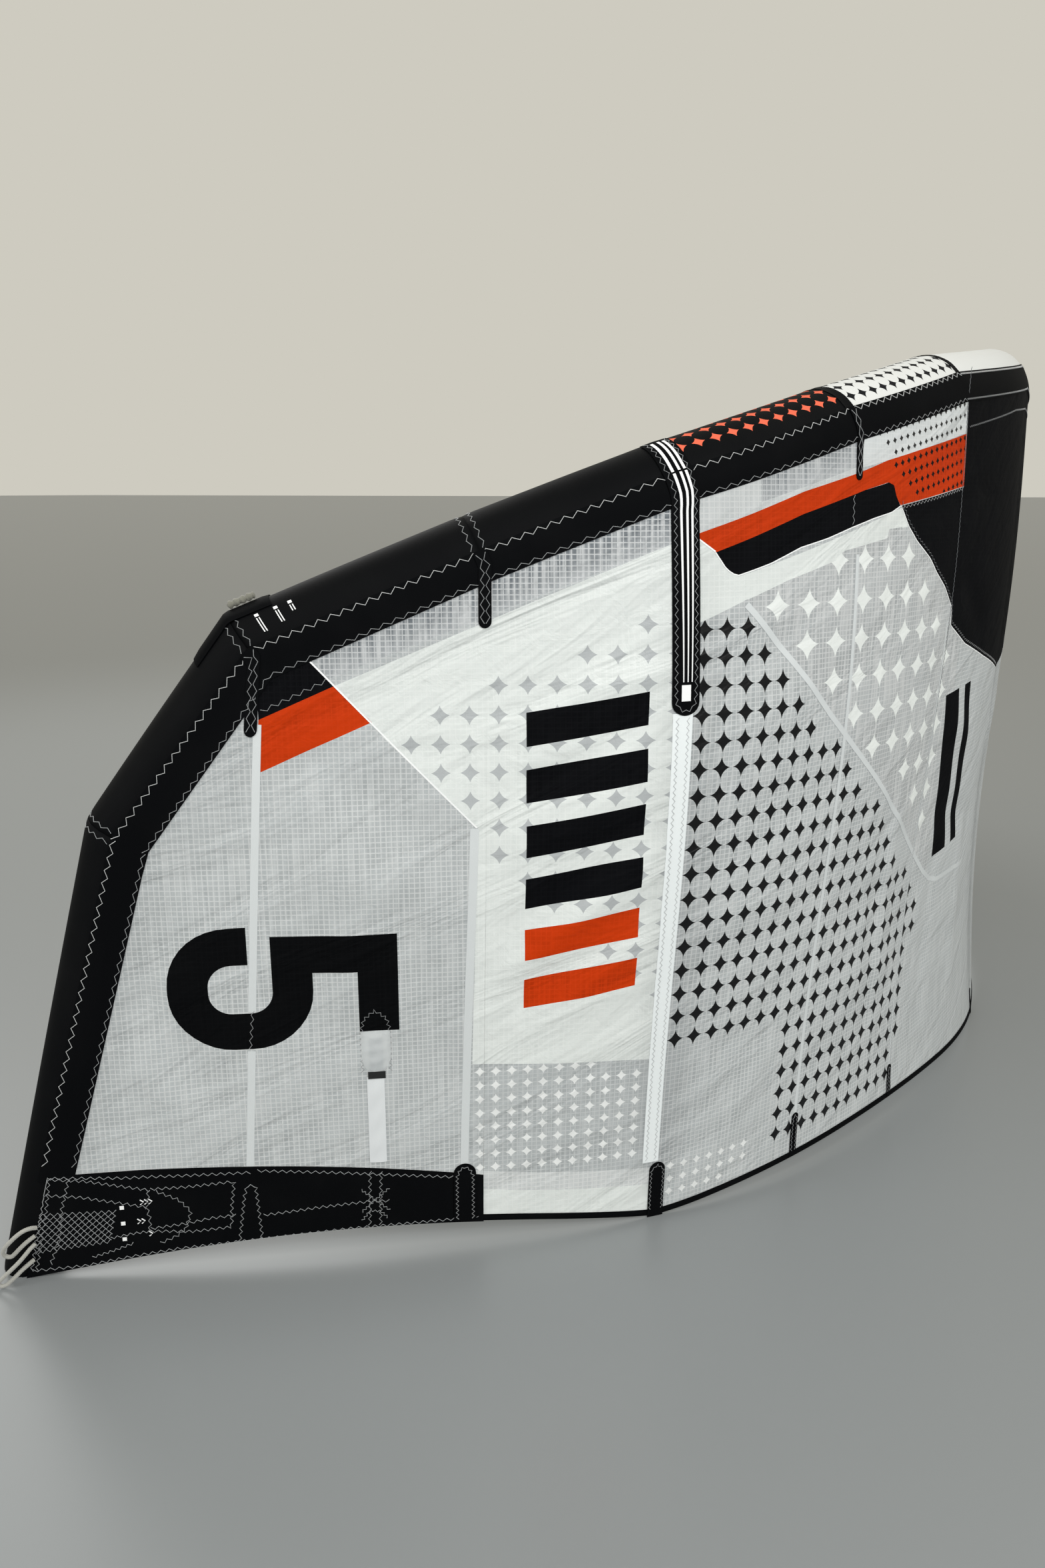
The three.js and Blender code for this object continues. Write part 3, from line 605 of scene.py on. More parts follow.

# Printed areas, and two areas of painted shade, the later over the earlier: finish, and outline as distance from the
# middle and height
prints = [
    # Painted shade: the tube's shadow seen through the cloth below the edge band
    ("shadedRipstop", [(1560, 870), (1111, 1043), (1098, 1048), (1098, 1130), (1600, 960)]),
    ("whiteRipstop", [(1550, 862), (1111, 1043), (1097, 1048), (1095, 284), (1374, 300), (1366, 666)]),
    ("whiteGreyStars", [(1490, 795), (1466, 820), (1300, 925), (1141, 985), (1098, 985), (1096, 350), (1100, 350),
        (1366, 590), (1366, 666)]),
    ("blackRipstop", [(1652, 960), (1590, 970), (1582, 898), (1550, 862), (1650, 818)]),
    ("orangeRipstop", [(1650, 818), (1550, 862), (1503, 814), (1656, 746)]),
    ("smallWhiteStars", [(1374, 300), (1095, 284), (1090, 72), (1383, 107)]),
    ("paleRipstop", [(1383, 118), (1372, 117), (1284, 106), (1090, 90), (1090, 10), (1383, 30)]),
    ("whiteRipstop", [(1383, 86), (1372, 85), (1284, 74), (1090, 60), (1090, 10), (1383, 30)]),
    ("whiteRipstop", [(1074, 1057), (1057, 1030), (1022, 998), (703, 1082), (690, 1085), (671, 1056), (724, 1054),
        (728, 1041), (829, 1026), (844, 1019), (848, 1013), (942, 989), (1010, 966), (1077, 938), (1098, 932),
        (1098, 1060)]),
    ("paleRipstop", [(1098, 1160), (1098, 1052), (809, 1129), (800, 1131), (800, 1240)]),
    # Painted shade below the edge band, right of the strut
    ("shadedRipstop", [(987, 1190), (987, 1094), (985, 1095), (819, 1138), (800, 1143), (800, 1240)]),
    ("orangeRipstop", [(1086, 1053), (1057, 1030), (913, 1078), (786, 1110), (728, 1121), (800, 1134), (912, 1108)]),
    ("orangeRipstop", [(800, 1134), (728, 1121), (695, 1088), (472, 1116), (471, 1198), (720, 1155)]),
    ("orangeBlackStars", [(722, 1153), (720, 1112), (695, 1090), (474, 1116), (474, 1196)]),
    ("whiteBlackStars", [(792, 1141), (474, 1199), (474, 1290), (792, 1236)]),
    ("blackRipstop", [(1057, 1030), (1043, 1010), (1034, 1002), (1024, 999), (972, 1013), (943, 1024), (918, 1033),
        (866, 1044), (815, 1058), (764, 1070), (719, 1078), (708, 1083), (695, 1087), (706, 1100), (714, 1117),
        (728, 1121), (736, 1119), (786, 1110), (913, 1078)]),
    ("blackStarField", [(1088, 935), (1077, 939), (1010, 967), (872, 828), (872, 296), (1088, 296)]),
    ("lowStarField", [(872, 800), (445, 404), (505, 90), (505, 40), (872, 40)]),
    ("largeWhiteStars", [(1011, 966), (942, 989), (848, 1013), (844, 1019), (829, 1026), (728, 1041), (724, 1054),
        (690, 1056), (592, 1005), (491, 930), (430, 900), (430, 445), (450, 452), (841, 795)]),
    ("lowWhiteStars", [(1080, 100), (1080, 22), (880, 22), (880, 110)]),
    ("blackRipstop", [(468, 1320), (472, 1115), *crownEdge, (0, 762), (0, 1340)]),
]

# A bold slanted bar print stands in the white panel, and two bars on the crown
barPrint = {"low": 388, "pitch": 78, "thick": 46, "bars": 6, "orange": 2, "outer": 1300, "inner": 1140, "slant": 26}
crownBars = [("blackRipstop", [(462, 770), (404, 776), (352, 470), (410, 464)]),
             ("blackRipstop", [(374, 778), (344, 781), (292, 475), (322, 472)])]


def barOutlines():
    made = []
    for i in range(barPrint["bars"]):
        outerLow = barPrint["low"] + i * barPrint["pitch"]
        innerLow = outerLow + barPrint["slant"]
        shape = [(barPrint["outer"], outerLow), (barPrint["inner"], innerLow),
                 (barPrint["inner"], innerLow + barPrint["thick"]), (barPrint["outer"], outerLow + barPrint["thick"])]
        made.append(("orangeRipstop" if i < barPrint["orange"] else "blackRipstop", shape))
    return made


# The size figure, a plain block five whose top points to the middle, in its own frame: x to its right, y down
figureFive = {"top": 1478, "low": 344, "wide": 186, "tall": 318, "stroke": 56, "stem": 14, "flag": 20, "bowl": 118,
              "round": 88, "lip": 112, "arcSteps": 9}


def bend(x, y, radius, start, end):
    turns = steps(radians(start), radians(end), radians(abs(end - start)) / figureFive["arcSteps"])
    return [(x + radius * cos(turn), y + radius * sin(turn)) for turn in turns]


def figureOutline(side):
    wide, tall, stroke, stem, bowl = (figureFive[key] for key in ("wide", "tall", "stroke", "stem", "bowl"))
    outer, lip, flag = figureFive["round"], tall - figureFive["lip"], wide - figureFive["flag"]
    inner, right, low = outer - stroke, wide - outer, tall - outer
    shape = [(stem, 0), (flag, 0), (flag, stroke), (stem + stroke, stroke), (stem + stroke, bowl)]
    shape += bend(right, bowl + outer, outer, -90, 0) + bend(right, low, outer, 0, 90)
    shape += bend(outer, low, outer, 90, 180) + [(0, lip), (stroke, lip)]
    shape += bend(outer, low, inner, 180, 90) + bend(right, low, inner, 90, 0)
    shape += bend(right, bowl + outer, inner, 0, -90) + [(stem, bowl + stroke)]
    # The other half is turned half round, so the figure reads on both
    foot = figureFive["low"]
    return "figureBlack", [(figureFive["top"] + y, foot + wide - x if side < 0 else foot + x) for x, y in shape]


# Creases, in millimetres: from, to, width and depth, minus into the sail
creases = [
    (1095, 690, 1372, 470, 26, -5), (1095, 640, 1372, 400, 20, 4), (1096, 760, 1372, 600, 30, 4),
    (1096, 560, 1370, 360, 24, -4), (1100, 820, 1360, 700, 22, -4), (1098, 500, 1300, 330, 18, 3),
    (1095, 420, 1250, 300, 16, -3), (1100, 880, 1250, 850, 18, 3), (1100, 300, 1340, 240, 22, -3),
    (1120, 980, 1380, 760, 30, -3), (1380, 620, 1640, 800, 36, -5), (1380, 540, 1640, 640, 40, 5),
    (1400, 300, 1680, 420, 40, -4), (1380, 180, 1500, 640, 20, -3), (1540, 300, 1550, 700, 26, 3),
    (1700, 200, 1900, 560, 30, -5), (1730, 180, 1940, 420, 26, 4), (1680, 600, 1850, 300, 34, 4),
    (1790, 560, 1900, 260, 24, -4), (1900, 180, 1950, 420, 16, -3),
    (1080, 860, 860, 930, 26, -4), (1080, 760, 840, 860, 24, 3), (1080, 640, 820, 700, 30, -3),
    (1080, 480, 840, 520, 28, 3), (1080, 300, 820, 260, 26, -3), (1000, 60, 840, 330, 24, 3),
    (790, 900, 560, 780, 30, -4), (790, 700, 540, 560, 34, 4), (790, 500, 540, 420, 30, -4),
    (790, 320, 530, 300, 26, 3), (620, 120, 640, 700, 22, -4), (600, 160, 610, 640, 18, 4),
    (480, 1000, 300, 860, 30, -4), (480, 760, 200, 620, 36, 4), (480, 560, 160, 500, 34, -4),
    (500, 340, 180, 320, 30, 3), (420, 120, 400, 520, 26, -4), (240, 100, 260, 520, 26, 4),
    (90, 120, 60, 620, 24, -3), (120, 720, 20, 560, 26, 3),
]


def creaseDepth(at, height, near):
    depth = 0.0
    for ax, ay, bx, by, width, deep in near:
        dx, dy = bx - ax, by - ay
        share = ((at - ax) * dx + (height - ay) * dy) / (dx * dx + dy * dy)
        away = abs((at - ax) * dy - (height - ay) * dx) / hypot(dx, dy)
        if 0 < share < 1 and away <= 3 * width:
            depth += deep * exp(-(away / width) ** 2) * sin(pi * share) ** 0.7
    return depth


# The flat distance from the tube's outer line.
def belowTube(at, height):
    nearest = 1e9
    for segment in segments:
        (ax, ay), (bx, by) = segment["a"][:2], segment["b"][:2]
        share = clamp(((at - ax) * (bx - ax) + (height - ay) * (by - ay)) / ((bx - ax) ** 2 + (by - ay) ** 2))
        nearest = min(nearest, hypot(at - lerp(ax, bx, share), height - lerp(ay, by, share)))
    return nearest


def lowEdge(at, onTip):
    return tipBandTop(at) - sail["underBand"] if onTip else arch(at) + sail["inBinding"]


# How far the cloth stands off its smooth surface: full in the middle of a panel, creased, and tight at every edge.
def sailOff(at, height, near=creases):
    at = abs(at)
    low = lowEdge(at, at > wingSeam)
    rise = clamp((height - low) / max(tubeHeight(at) - low, 1))
    panel = next((row for row in sail["panels"] if at >= lerp(*row["inner"], rise)), sail["panels"][-1])
    inner, outer = lerp(*panel["inner"], rise), lerp(*panel["outer"], rise)
    free = sin(pi * clamp((at - inner) / (outer - inner))) * sin(pi * rise)
    margin = min(belowTube(at, height) - bandEdges(at)[0], height - low - sail["underBand"])
    depth = panel["bulge"] * free + creaseDepth(at, height, near) * smooth(free * 2.5)
    return depth * smooth(margin / sail["tightMm"])


# The edges of a closed outline, each a pair of its corners.
def edgesOf(outline):
    return zip(outline, outline[1:] + outline[:1])


def insideOutline(at, height, outline):
    inside = False
    for (ax, ay), (bx, by) in edgesOf(outline):
        if (ay > height) != (by > height) and at < (bx - ax) * (height - ay) / (by - ay) + ax:
            inside = not inside
    return inside


def cutAlong(bm, a, b, cell):
    low, high = ([pick(a[n], b[n]) + reach for n in (0, 1)] for pick, reach in ((min, -cell), (max, cell)))
    near = [f for f in bm.faces for c in [f.verts[0].co] if low[0] < c.x < high[0] and low[1] < c.y < high[1]]
    parts = set(near)
    for face in near:
        parts.update(face.edges)
        parts.update(face.verts)
    if parts:
        bmesh.ops.bisect_plane(bm, geom=list(parts), dist=0.02, plane_co=(a[0], a[1], 0),
                               plane_no=(b[1] - a[1], a[0] - b[0], 0))


def sailPanel(suffix, side, panel):
    onTip = panel["inner"][0] >= wingSeam
    bm = bmesh.new()
    bmesh.ops.create_grid(bm, x_segments=round((panel["outer"][0] - panel["inner"][0]) / sail["cellMm"]),
                          y_segments=round(tubeHeight(panel["inner"][1]) / sail["cellMm"]), size=0.5)
    for vert in bm.verts:
        share, rise = vert.co.x + 0.5, vert.co.y + 0.5
        foot, head = (lerp(panel["inner"][n], panel["outer"][n], share) for n in (0, 1))
        vert.co = (lerp(foot, head, rise), lerp(lowEdge(foot, onTip), tubeHeight(head) + sail["underTube"], rise), 0)
    low, high = ([pick(v.co[n] for v in bm.verts) for n in (0, 1)] for pick in (min, max))
    here = [(finish, outline) for finish, outline in prints + barOutlines() + crownBars + [figureOutline(side)]
            if all(min(p[n] for p in outline) < high[n] and max(p[n] for p in outline) > low[n] for n in (0, 1))]
    for finish, outline in here:
        for a, b in edgesOf(outline):
            cutAlong(bm, a, b, 2 * sail["cellMm"])
    used = ["greyRipstop"]
    uvLayer = bm.loops.layers.uv.new("cloth")
    for face in bm.faces:
        middle = face.calc_center_median()
        face.smooth = True
        finish = next((f for f, o in reversed(here) if insideOutline(middle.x, middle.y, o)), used[0])
        if finish not in used:
            used.append(finish)
        face.material_index = used.index(finish)
        for loop in face.loops:
            loop[uvLayer].uv = (loop.vert.co.x / 1000, loop.vert.co.y / 1000)
    flatArea = sum(face.calc_area() for face in bm.faces) / 1e6
    near = [c for c in creases if min(c[0], c[2]) < high[0] and max(c[0], c[2]) > low[0]]
    for vert in bm.verts:
        at, height, flat = vert.co
        vert.co = onCloth(side, at, height, sail["off"] + sailOff(at, height, near))
    if side < 0:
        bmesh.ops.reverse_faces(bm, faces=bm.faces[:])
    piece = meshObject("sail" + panel["name"] + suffix, bm, used)
    finishPiece(piece, True)
    noteSheet(piece, high[0] - low[0], high[1] - low[1], "stretched", "edgeBand" + suffix, flatArea)


for side, suffix in sides.items():
    for panel in sail["panels"]:
        sailPanel(suffix, side, panel)
print("the sail's panels are cut and printed")


# The inflated tubes: woven polyester, tight with air, drawn in a little at each ring seam
tubes = {
    "around": 80, "alongMm": 9, "swell": 0.9, "pinch": 1.3, "pinchMm": 7, "pucker": 0.8, "puckerMm": 28, "puckers": 21,
    "pieces": ["Crown", "Starred", "Upper", "Middle", "Lower", "Tip"],  # from the middle outwards
    "prints": {"Crown": "blackStarPolyester", "Starred": "coralStarPolyester"},
    "whiteAbove": (-4, 100),  # degrees from the outer side towards the front, on the middle length
}


# How far the skin stands off the round tube: full between the seams, drawn in and puckered at them.
def tubeOff(segment, share, angle):
    fromEnd = (1 - share if segment is segments[0] else min(share, 1 - share)) * segment["long"]
    swell = tubes["swell"] * sin(pi * clamp(share))
    pinch = tubes["pinch"] * exp(-(fromEnd / tubes["pinchMm"]) ** 2)
    ripple = sin(angle * tubes["puckers"] + 2 * sin(3 * angle)) * exp(-fromEnd / tubes["puckerMm"])
    return swell - pinch + tubes["pucker"] * ripple * (0.6 - 0.4 * sin(angle))


def tubeSkin(bm, side, segment, finishIndex):
    a, b = segment["a"], segment["b"]
    made = bmesh.ops.create_grid(bm, x_segments=round(segment["long"] / tubes["alongMm"]),
                                 y_segments=tubes["around"], size=0.5)["verts"]
    cell = {v: (v.co.x + 0.5, (v.co.y + 0.5) * 2 * pi) for v in made}
    faces = {f for v in made for f in v.link_faces}
    for face in faces:
        face.smooth = True
        face.material_index = finishIndex(sum(cell[v][1] for v in face.verts) / 4)
        for loop in face.loops:
            share, angle = cell[loop.vert]
            loop[bm.loops.layers.uv["cloth"]].uv = ((a[0] + share * segment["long"]) / 1000,
                                                    angle * lerp(a[3], b[3], share) / 1000)
    for vert, (share, angle) in cell.items():
        vert.co = onTube(side, lerp(a[0], b[0], share), angle, tubeOff(segment, share, angle), segment)
    if side < 0:
        bmesh.ops.reverse_faces(bm, faces=list(faces))


def blowUp(name, halves, segment, finishNames, finishIndex=lambda angle: 0):
    bm = bmesh.new()
    bm.loops.layers.uv.new("cloth")
    for side in halves:
        tubeSkin(bm, side, segment, finishIndex)
    closeTube(bm)
    finishPiece(meshObject(name, bm, finishNames), True)


for side, suffix in sides.items():
    for name, segment in zip(tubes["pieces"], segments[1:]):
        blowUp("tube" + name + suffix, [side], segment, [tubes["prints"].get(name, "blackPolyester")])
# The middle length is white above and black beneath
blowUp("tubeCentre", sides, segments[0], ["whitePolyester", "blackPolyester"],
       lambda angle: 0 if tubes["whiteAbove"][0] <= degrees(angle) <= tubes["whiteAbove"][1] else 1)

# The struts behind the seams: height and radius
struts = {
    "rows": [(34, 9), (38, 14), (44, 18), (56, 22.5), (70, 26), (95, 30.5), (130, 34), (190, 37), (260, 39),
             (330, 40.4), (400, 41.5), (470, 42.4), (540, 43)],
    "top": -28, "stepMm": 14, "clear": 1.1, "around": 64, "ripple": 0.5,
}


def strutTube(name, side, foot, head):
    top = tubeHeight(head) + struts["top"]
    fullHeight, fullRadius = struts["rows"][-1]

    def place(turn, height):
        radius = between(struts["rows"], 1, height)
        ripple = struts["ripple"] * (sin(turn * 9 + height / 60) * sin(height / 47) - 1)
        base, right, out = plumb(lerp(foot, head, height / top))
        centre = base + out * (clothOut(lerp(foot, head, height / top), height) - struts["clear"] - radius)
        skin = centre + (right * sin(turn) + out * cos(turn)) * (radius + ripple)
        skin.z = height
        return settle(side, skin)

    piece = clothGrid(name, steps(0, 2 * pi, 2 * pi / struts["around"]),
                      [h for h, r in struts["rows"]] + steps(fullHeight, top, struts["stepMm"])[1:], place,
                      lambda turn, height: (turn * fullRadius, height), "blackPolyester", closed=True)
    finishPiece(piece, True)


for side, suffix in sides.items():
    strutTube("strut" + suffix, side, kiteForm["strutFoot"], kiteForm["strutHead"])
strutTube("strutCentre", 1, 0, 0)
print("the tubes and struts are filled")


# The band's place: on the cloth below the tube's outer line, on the tube above it.
def bandPlace(side, at, reach, extra=0.0):
    below, above = bandEdges(at)
    if reach > 0:
        off = lerp(edgeBand["onSeam"], edgeBand["onTube"], smooth(reach / max(above, 1)))
        return onTube(side, at, reach / between(joints, 3, at), off + extra)
    off = lerp(edgeBand["onSeam"], edgeBand["onCloth"], smooth(-reach / max(below, 1)))
    return onCloth(side, *besideTube(at, -reach), off + extra)


def bandReach(at, row):
    below, above = bandEdges(at)
    return lerp(-below, above, row)


# The heavy band along each wing's foot
tipBand = {"columnMm": 12, "rowShare": 0.09, "off": 1.3, "thick": 1.4, "inset": 3, "edgeInset": 4, "wave": 0.5,
           "waveMm": 23, "flat": (668, 162)}


def tipPlace(side, at, height, lift=0.0):
    knee = joints[-2]
    share = clamp((height - arch(at)) / (tipBandTop(at) - arch(at)))
    off = tipBand["off"] + lift + tipBand["wave"] * sin(at / tipBand["waveMm"]) * sin(pi * share)
    return onCloth(side, min(at, lerp(tipEnd, knee[0], height / knee[1]) - tipBand["inset"]), height, off)


def tipHeight(at, row):
    return lerp(arch(at), tipBandTop(at), row)


# The binding folded round the bottom edge: height above the edge and off the sail's inner face
bindingFold = {"profile": [(11.5, -0.5), (6, -0.8), (1.6, -0.7), (0.8, 0.6), (1.6, 2.0), (6, 2.1), (12, 1.6)],
               "thick": 0.4, "columnMm": 14, "rowMm": 4.5, "flat": (1360, 26)}

for side, suffix in sides.items():
    sew("edgeBand" + suffix, side, steps(0, edgeBand["end"], edgeBand["columnMm"]), steps(0, 1, edgeBand["rowShare"]),
        lambda side, at, row: bandPlace(side, at, bandReach(at, row)), lambda at, row: (at, bandReach(at, row)),
        edgeBand["thick"], edgeBand["flat"], "tubeStarred" + suffix)
    sew("tipBand" + suffix, side, steps(wingSeam, tipEnd - tipBand["edgeInset"], tipBand["columnMm"]),
        steps(0, 1, tipBand["rowShare"]), lambda side, at, row: tipPlace(side, at, tipHeight(at, row)),
        lambda at, row: (at, tipHeight(at, row)), tipBand["thick"], tipBand["flat"], "sailTip" + suffix)
    sew("binding" + suffix, side, steps(0, wingSeam, bindingFold["columnMm"]), bindingFold["profile"],
        lambda side, at, fold: onCloth(side, at, arch(at) + fold[0], fold[1]),
        lambda at, fold: (at, bindingFold["profile"].index(fold) * bindingFold["rowMm"]),
        bindingFold["thick"], bindingFold["flat"], "sailStrut" + suffix, "folded")

# Straps sewn over the tube's joints, with round ends on the cloth
straps = {
    "thick": 1.0, "rowMm": 6, "columnShare": 0.25, "onBand": 1.1, "onCloth": 1.4, "blendMm": 10, "levelMm": 40,
    "pieces": {
        "fingerTip": {"head": 1652, "foot": 1662, "width": 17, "over": 12, "below": 92},
        "fingerWing": {"head": 1352, "foot": 1353, "width": 17, "over": 18, "below": 80},
        "fingerCrown": {"head": 800, "foot": 801, "width": 13, "over": 40, "below": 60},
        "strutBand": {"head": 1098, "foot": 1094, "width": 36, "over": 100, "below": 292},
    },
}
roundShares = (0, 0.03, 0.1, 0.25, 0.45, 0.7, 1)  # rows close together where a strap's end is round


def roundRows(tip, start, radius, size):
    way = 1 if start > tip else -1
    rows = [tip + way * share * radius for share in roundShares]
    return sorted(rows + steps(tip + way * radius, start, size)[1:])


# Half a strap's width at a distance from its round end.
def halfWidth(radius, fromEnd):
    return sqrt(max(radius ** 2 - max(radius - fromEnd, 0) ** 2, 2))


# A place on a strap: column from minus one to one across it, drop from the tube's outer line, minus down.
def strapPlace(side, row, column, drop, extra=0.0):
    half = halfWidth(row["width"] / 2, drop + row["below"])
    centre = lerp(row["head"], row["foot"], clamp(-drop / row["below"]))
    at = centre + column * half
    below, above = bandEdges(at)
    onBand = edgeBand["onSeam"] + straps["onBand"]
    if drop > 0:
        off = lerp(onBand, straps["onBand"], smooth((drop - above + 4) / straps["blendMm"]))
        return onTube(side, at, drop / between(joints, 3, at), off + extra)
    level = lerp(tubeHeight(at), tubeHeight(centre), clamp(-drop / straps["levelMm"])) + drop
    off = lerp(onBand, straps["onCloth"], smooth((-drop - below * 1.1) / straps["blendMm"]))
    return onCloth(side, at, level, off + sailOff(at, level) + extra)


# Reinforcing tabs that stand on the bottom edge
tabs = {
    "thick": 1.0, "threadMm": 0.8, "off": 2.3, "sink": 0.8, "sinkFrom": 14, "sinkMm": 20,
    "pieces": {
        "tabStrut": {"across": 1085, "width": 26, "height": 98, "foot": 0},
        "tabCrown": {"across": 806, "width": 15, "height": 84, "foot": 3},
        "tabInner": {"across": 521, "width": 13, "height": 66, "foot": 3},
    },
    "middle": {"across": 0, "width": 12, "height": 56, "foot": 0},
}


def tabPlace(side, row, column, up, extra=0.0):
    at = row["across"] + column * halfWidth(row["width"] / 2, row["height"] - up)
    height = up + (arch(abs(at)) if row["foot"] else 0)
    off = tabs["off"] - tabs["sink"] * smooth((up - tabs["sinkFrom"]) / tabs["sinkMm"])
    return onCloth(side if at >= 0 else -side, abs(at), height, off + sailOff(at, height) + extra)


def sewStrap(name, side, row, place, tip, start, thick, restsOn):
    radius = row["width"] / 2
    sew(name, side, steps(-1, 1, straps["columnShare"]), roundRows(tip, start, radius, straps["rowMm"]),
        lambda side, column, along: place(side, row, column, along), lambda column, along: (column * radius, along),
        thick, (row["width"], abs(tip - start) + 1), restsOn)


for side, suffix in sides.items():
    for name, row in straps["pieces"].items():
        sewStrap(name + suffix, side, row, strapPlace, -row["below"], row["over"], straps["thick"], "edgeBand" + suffix)
for side, suffix in sides.items():
    for name, row in tabs["pieces"].items():
        sewStrap(name + suffix, side, row, tabPlace, row["height"], row["foot"], tabs["thick"], "bindingLeft")
sewStrap("tabMiddle", 1, tabs["middle"], tabPlace, tabs["middle"]["height"], 0, tabs["thick"], "bindingLeft")
print("the bands, straps and tabs are sewn on")


# The batten's pocket on each wing
pocket = {"across": 1514, "foot": 112, "top": 256, "width": 25, "off": 1.7, "thick": 0.5, "swell": 1.2, "ripple": 0.35,
          "rowMm": 3, "columnShare": 0.2}


def pocketPlace(side, column, up):
    at, height = pocket["across"] + column * pocket["width"] / 2, up + arch(pocket["across"])
    swell = pocket["swell"] + pocket["ripple"] * sin(up / 7 + 2 * column)
    return onCloth(side, at, height, pocket["off"] + sailOff(at, height) + swell * (1 - column ** 2))


# The bridle's patch on the tube's front at its second joint, and its knotted line
bridle = {"inner": 1598, "outer": 1694, "half": 34, "columnMm": 4, "rowDegrees": 3, "lift": 1.3, "swell": 1.2,
          "radius": 60, "flat": (110, 75), "thick": 1.0, "knotAbove": 9.6, "knotOuter": 1648, "knotInner": 1612,
          "knotRadius": (3.2, 5.5), "knots": 4.5, "twist": 0.07, "twists": 40, "taper": 16, "knotSteps": 60,
          "knotAround": 16}


def patchPlace(side, at, angle):
    edge = min(at - bridle["inner"], bridle["outer"] - at,
               (radians(bridle["half"]) - abs(angle - pi / 2)) * bridle["radius"])
    return onTube(side, at, angle, bridle["lift"] + bridle["swell"] * smooth(edge / 8))


def knotPlace(side, share, turn):
    at = lerp(bridle["knotOuter"], bridle["knotInner"], share)
    swell = lerp(*bridle["knotRadius"], abs(sin(bridle["knots"] * pi * share)) ** 0.8)
    swell *= 1 + bridle["twist"] * sin(2 * turn + bridle["twists"] * share)
    swell *= sqrt(clamp(min(share, 1 - share) * bridle["taper"] + 0.02))
    middle = onTube(side, at, pi / 2, bridle["knotAbove"])
    outward = (onTube(side, at, pi / 2, bridle["knotAbove"] + 1) - middle) * 1000
    sideways = (onTube(side, at, pi / 2 - 0.02, bridle["knotAbove"]) - middle).normalized()
    return middle + (outward * sin(turn) + sideways * cos(turn)) * (swell / 1000)


for side, suffix in sides.items():
    sew("battenPocket" + suffix, side, steps(-1, 1, pocket["columnShare"]),
        steps(pocket["foot"], pocket["top"], pocket["rowMm"]), pocketPlace,
        lambda column, up: (column * pocket["width"] / 2, up), pocket["thick"],
        (pocket["width"], pocket["top"] - pocket["foot"]), "sailWing" + suffix, finish="paleTape")
for side, suffix in sides.items():
    angles = steps(90 - bridle["half"], 90 + bridle["half"], bridle["rowDegrees"])
    sew("bridlePatch" + suffix, side, steps(bridle["inner"], bridle["outer"], bridle["columnMm"]),
        [radians(a) for a in angles], patchPlace, lambda at, angle: (at, angle * bridle["radius"]),
        bridle["thick"], bridle["flat"], "tubeMiddle" + suffix)
    knot = clothGrid("bridleKnot" + suffix, steps(0, 1, 1 / bridle["knotSteps"]),
                     steps(0, 2 * pi, 2 * pi / bridle["knotAround"]),
                     lambda share, turn: knotPlace(side, share, turn), lambda share, turn: (share * 40, turn * 5),
                     "bridleBraid", closed=True)
    finishPiece(knot, True)
print("the pockets and bridle patches are on")


# Trims follow flat paths on the cloth. A place along one: where it is, and the way square to it.
def followPath(path, distance):
    for n, (a, b) in enumerate(zip(path, path[1:])):
        span = dist(a, b)
        if distance <= span or n == len(path) - 2:
            break
        distance -= span
    share = distance / span
    return lerp(a[0], b[0], share), lerp(a[1], b[1], share), ((a[1] - b[1]) / span, (b[0] - a[0]) / span)


def pathLong(path):
    return sum(dist(a, b) for a, b in zip(path, path[1:]))


# What a trim may lie on: each takes the side, the distance or drop, the height, and its lift.
def sailPlace(side, at, height, lift):
    return onCloth(side, at, height, sail["off"] + sailOff(at, height) + lift)


def stripPlace(side, at, height, lift):
    return sailPlace(side, at, height, seamTapes["lift"] + 0.3 + lift)


def tipBandPlace(side, at, height, lift):
    if at < wingSeam or height > tipBandTop(at):
        return sailPlace(side, at, height, 0.4 + lift)
    return tipPlace(side, at, height, tipBand["thick"] + lift)


def endTabTop(side, at, height, lift):
    return tipBandPlace(side, max(at, wingSeam + 4), height, lift + 2.0)


def bandTopPlace(side, at, reach, lift):
    return bandPlace(side, at, reach, edgeBand["thick"] + lift)


def tubePlace(side, at, arc, lift):
    segment = segmentAt(at)
    share = (at - segment["a"][0]) / (segment["b"][0] - segment["a"][0])
    angle = arc / lerp(segment["a"][3], segment["b"][3], share)
    return onTube(side, at, angle, tubeOff(segment, share, angle) + lift, segment)


def strapTop(place, row, thick):
    return lambda side, x, along, lift: place(side, row, clamp(2 * x / row["width"], -1, 1), along, thick + lift)


# A trim belongs to the sheet that carries it.
def sewTrim(piece, side, carrier):
    finishPiece(piece)
    if carrier:
        sheetRows[carrier + sides[side]]["trims"].append(piece)


# Ink marks on the black cloth, and the length of a tape's cells
printed = {"lift": 0.1, "thick": 0.15, "tapeMm": 8}


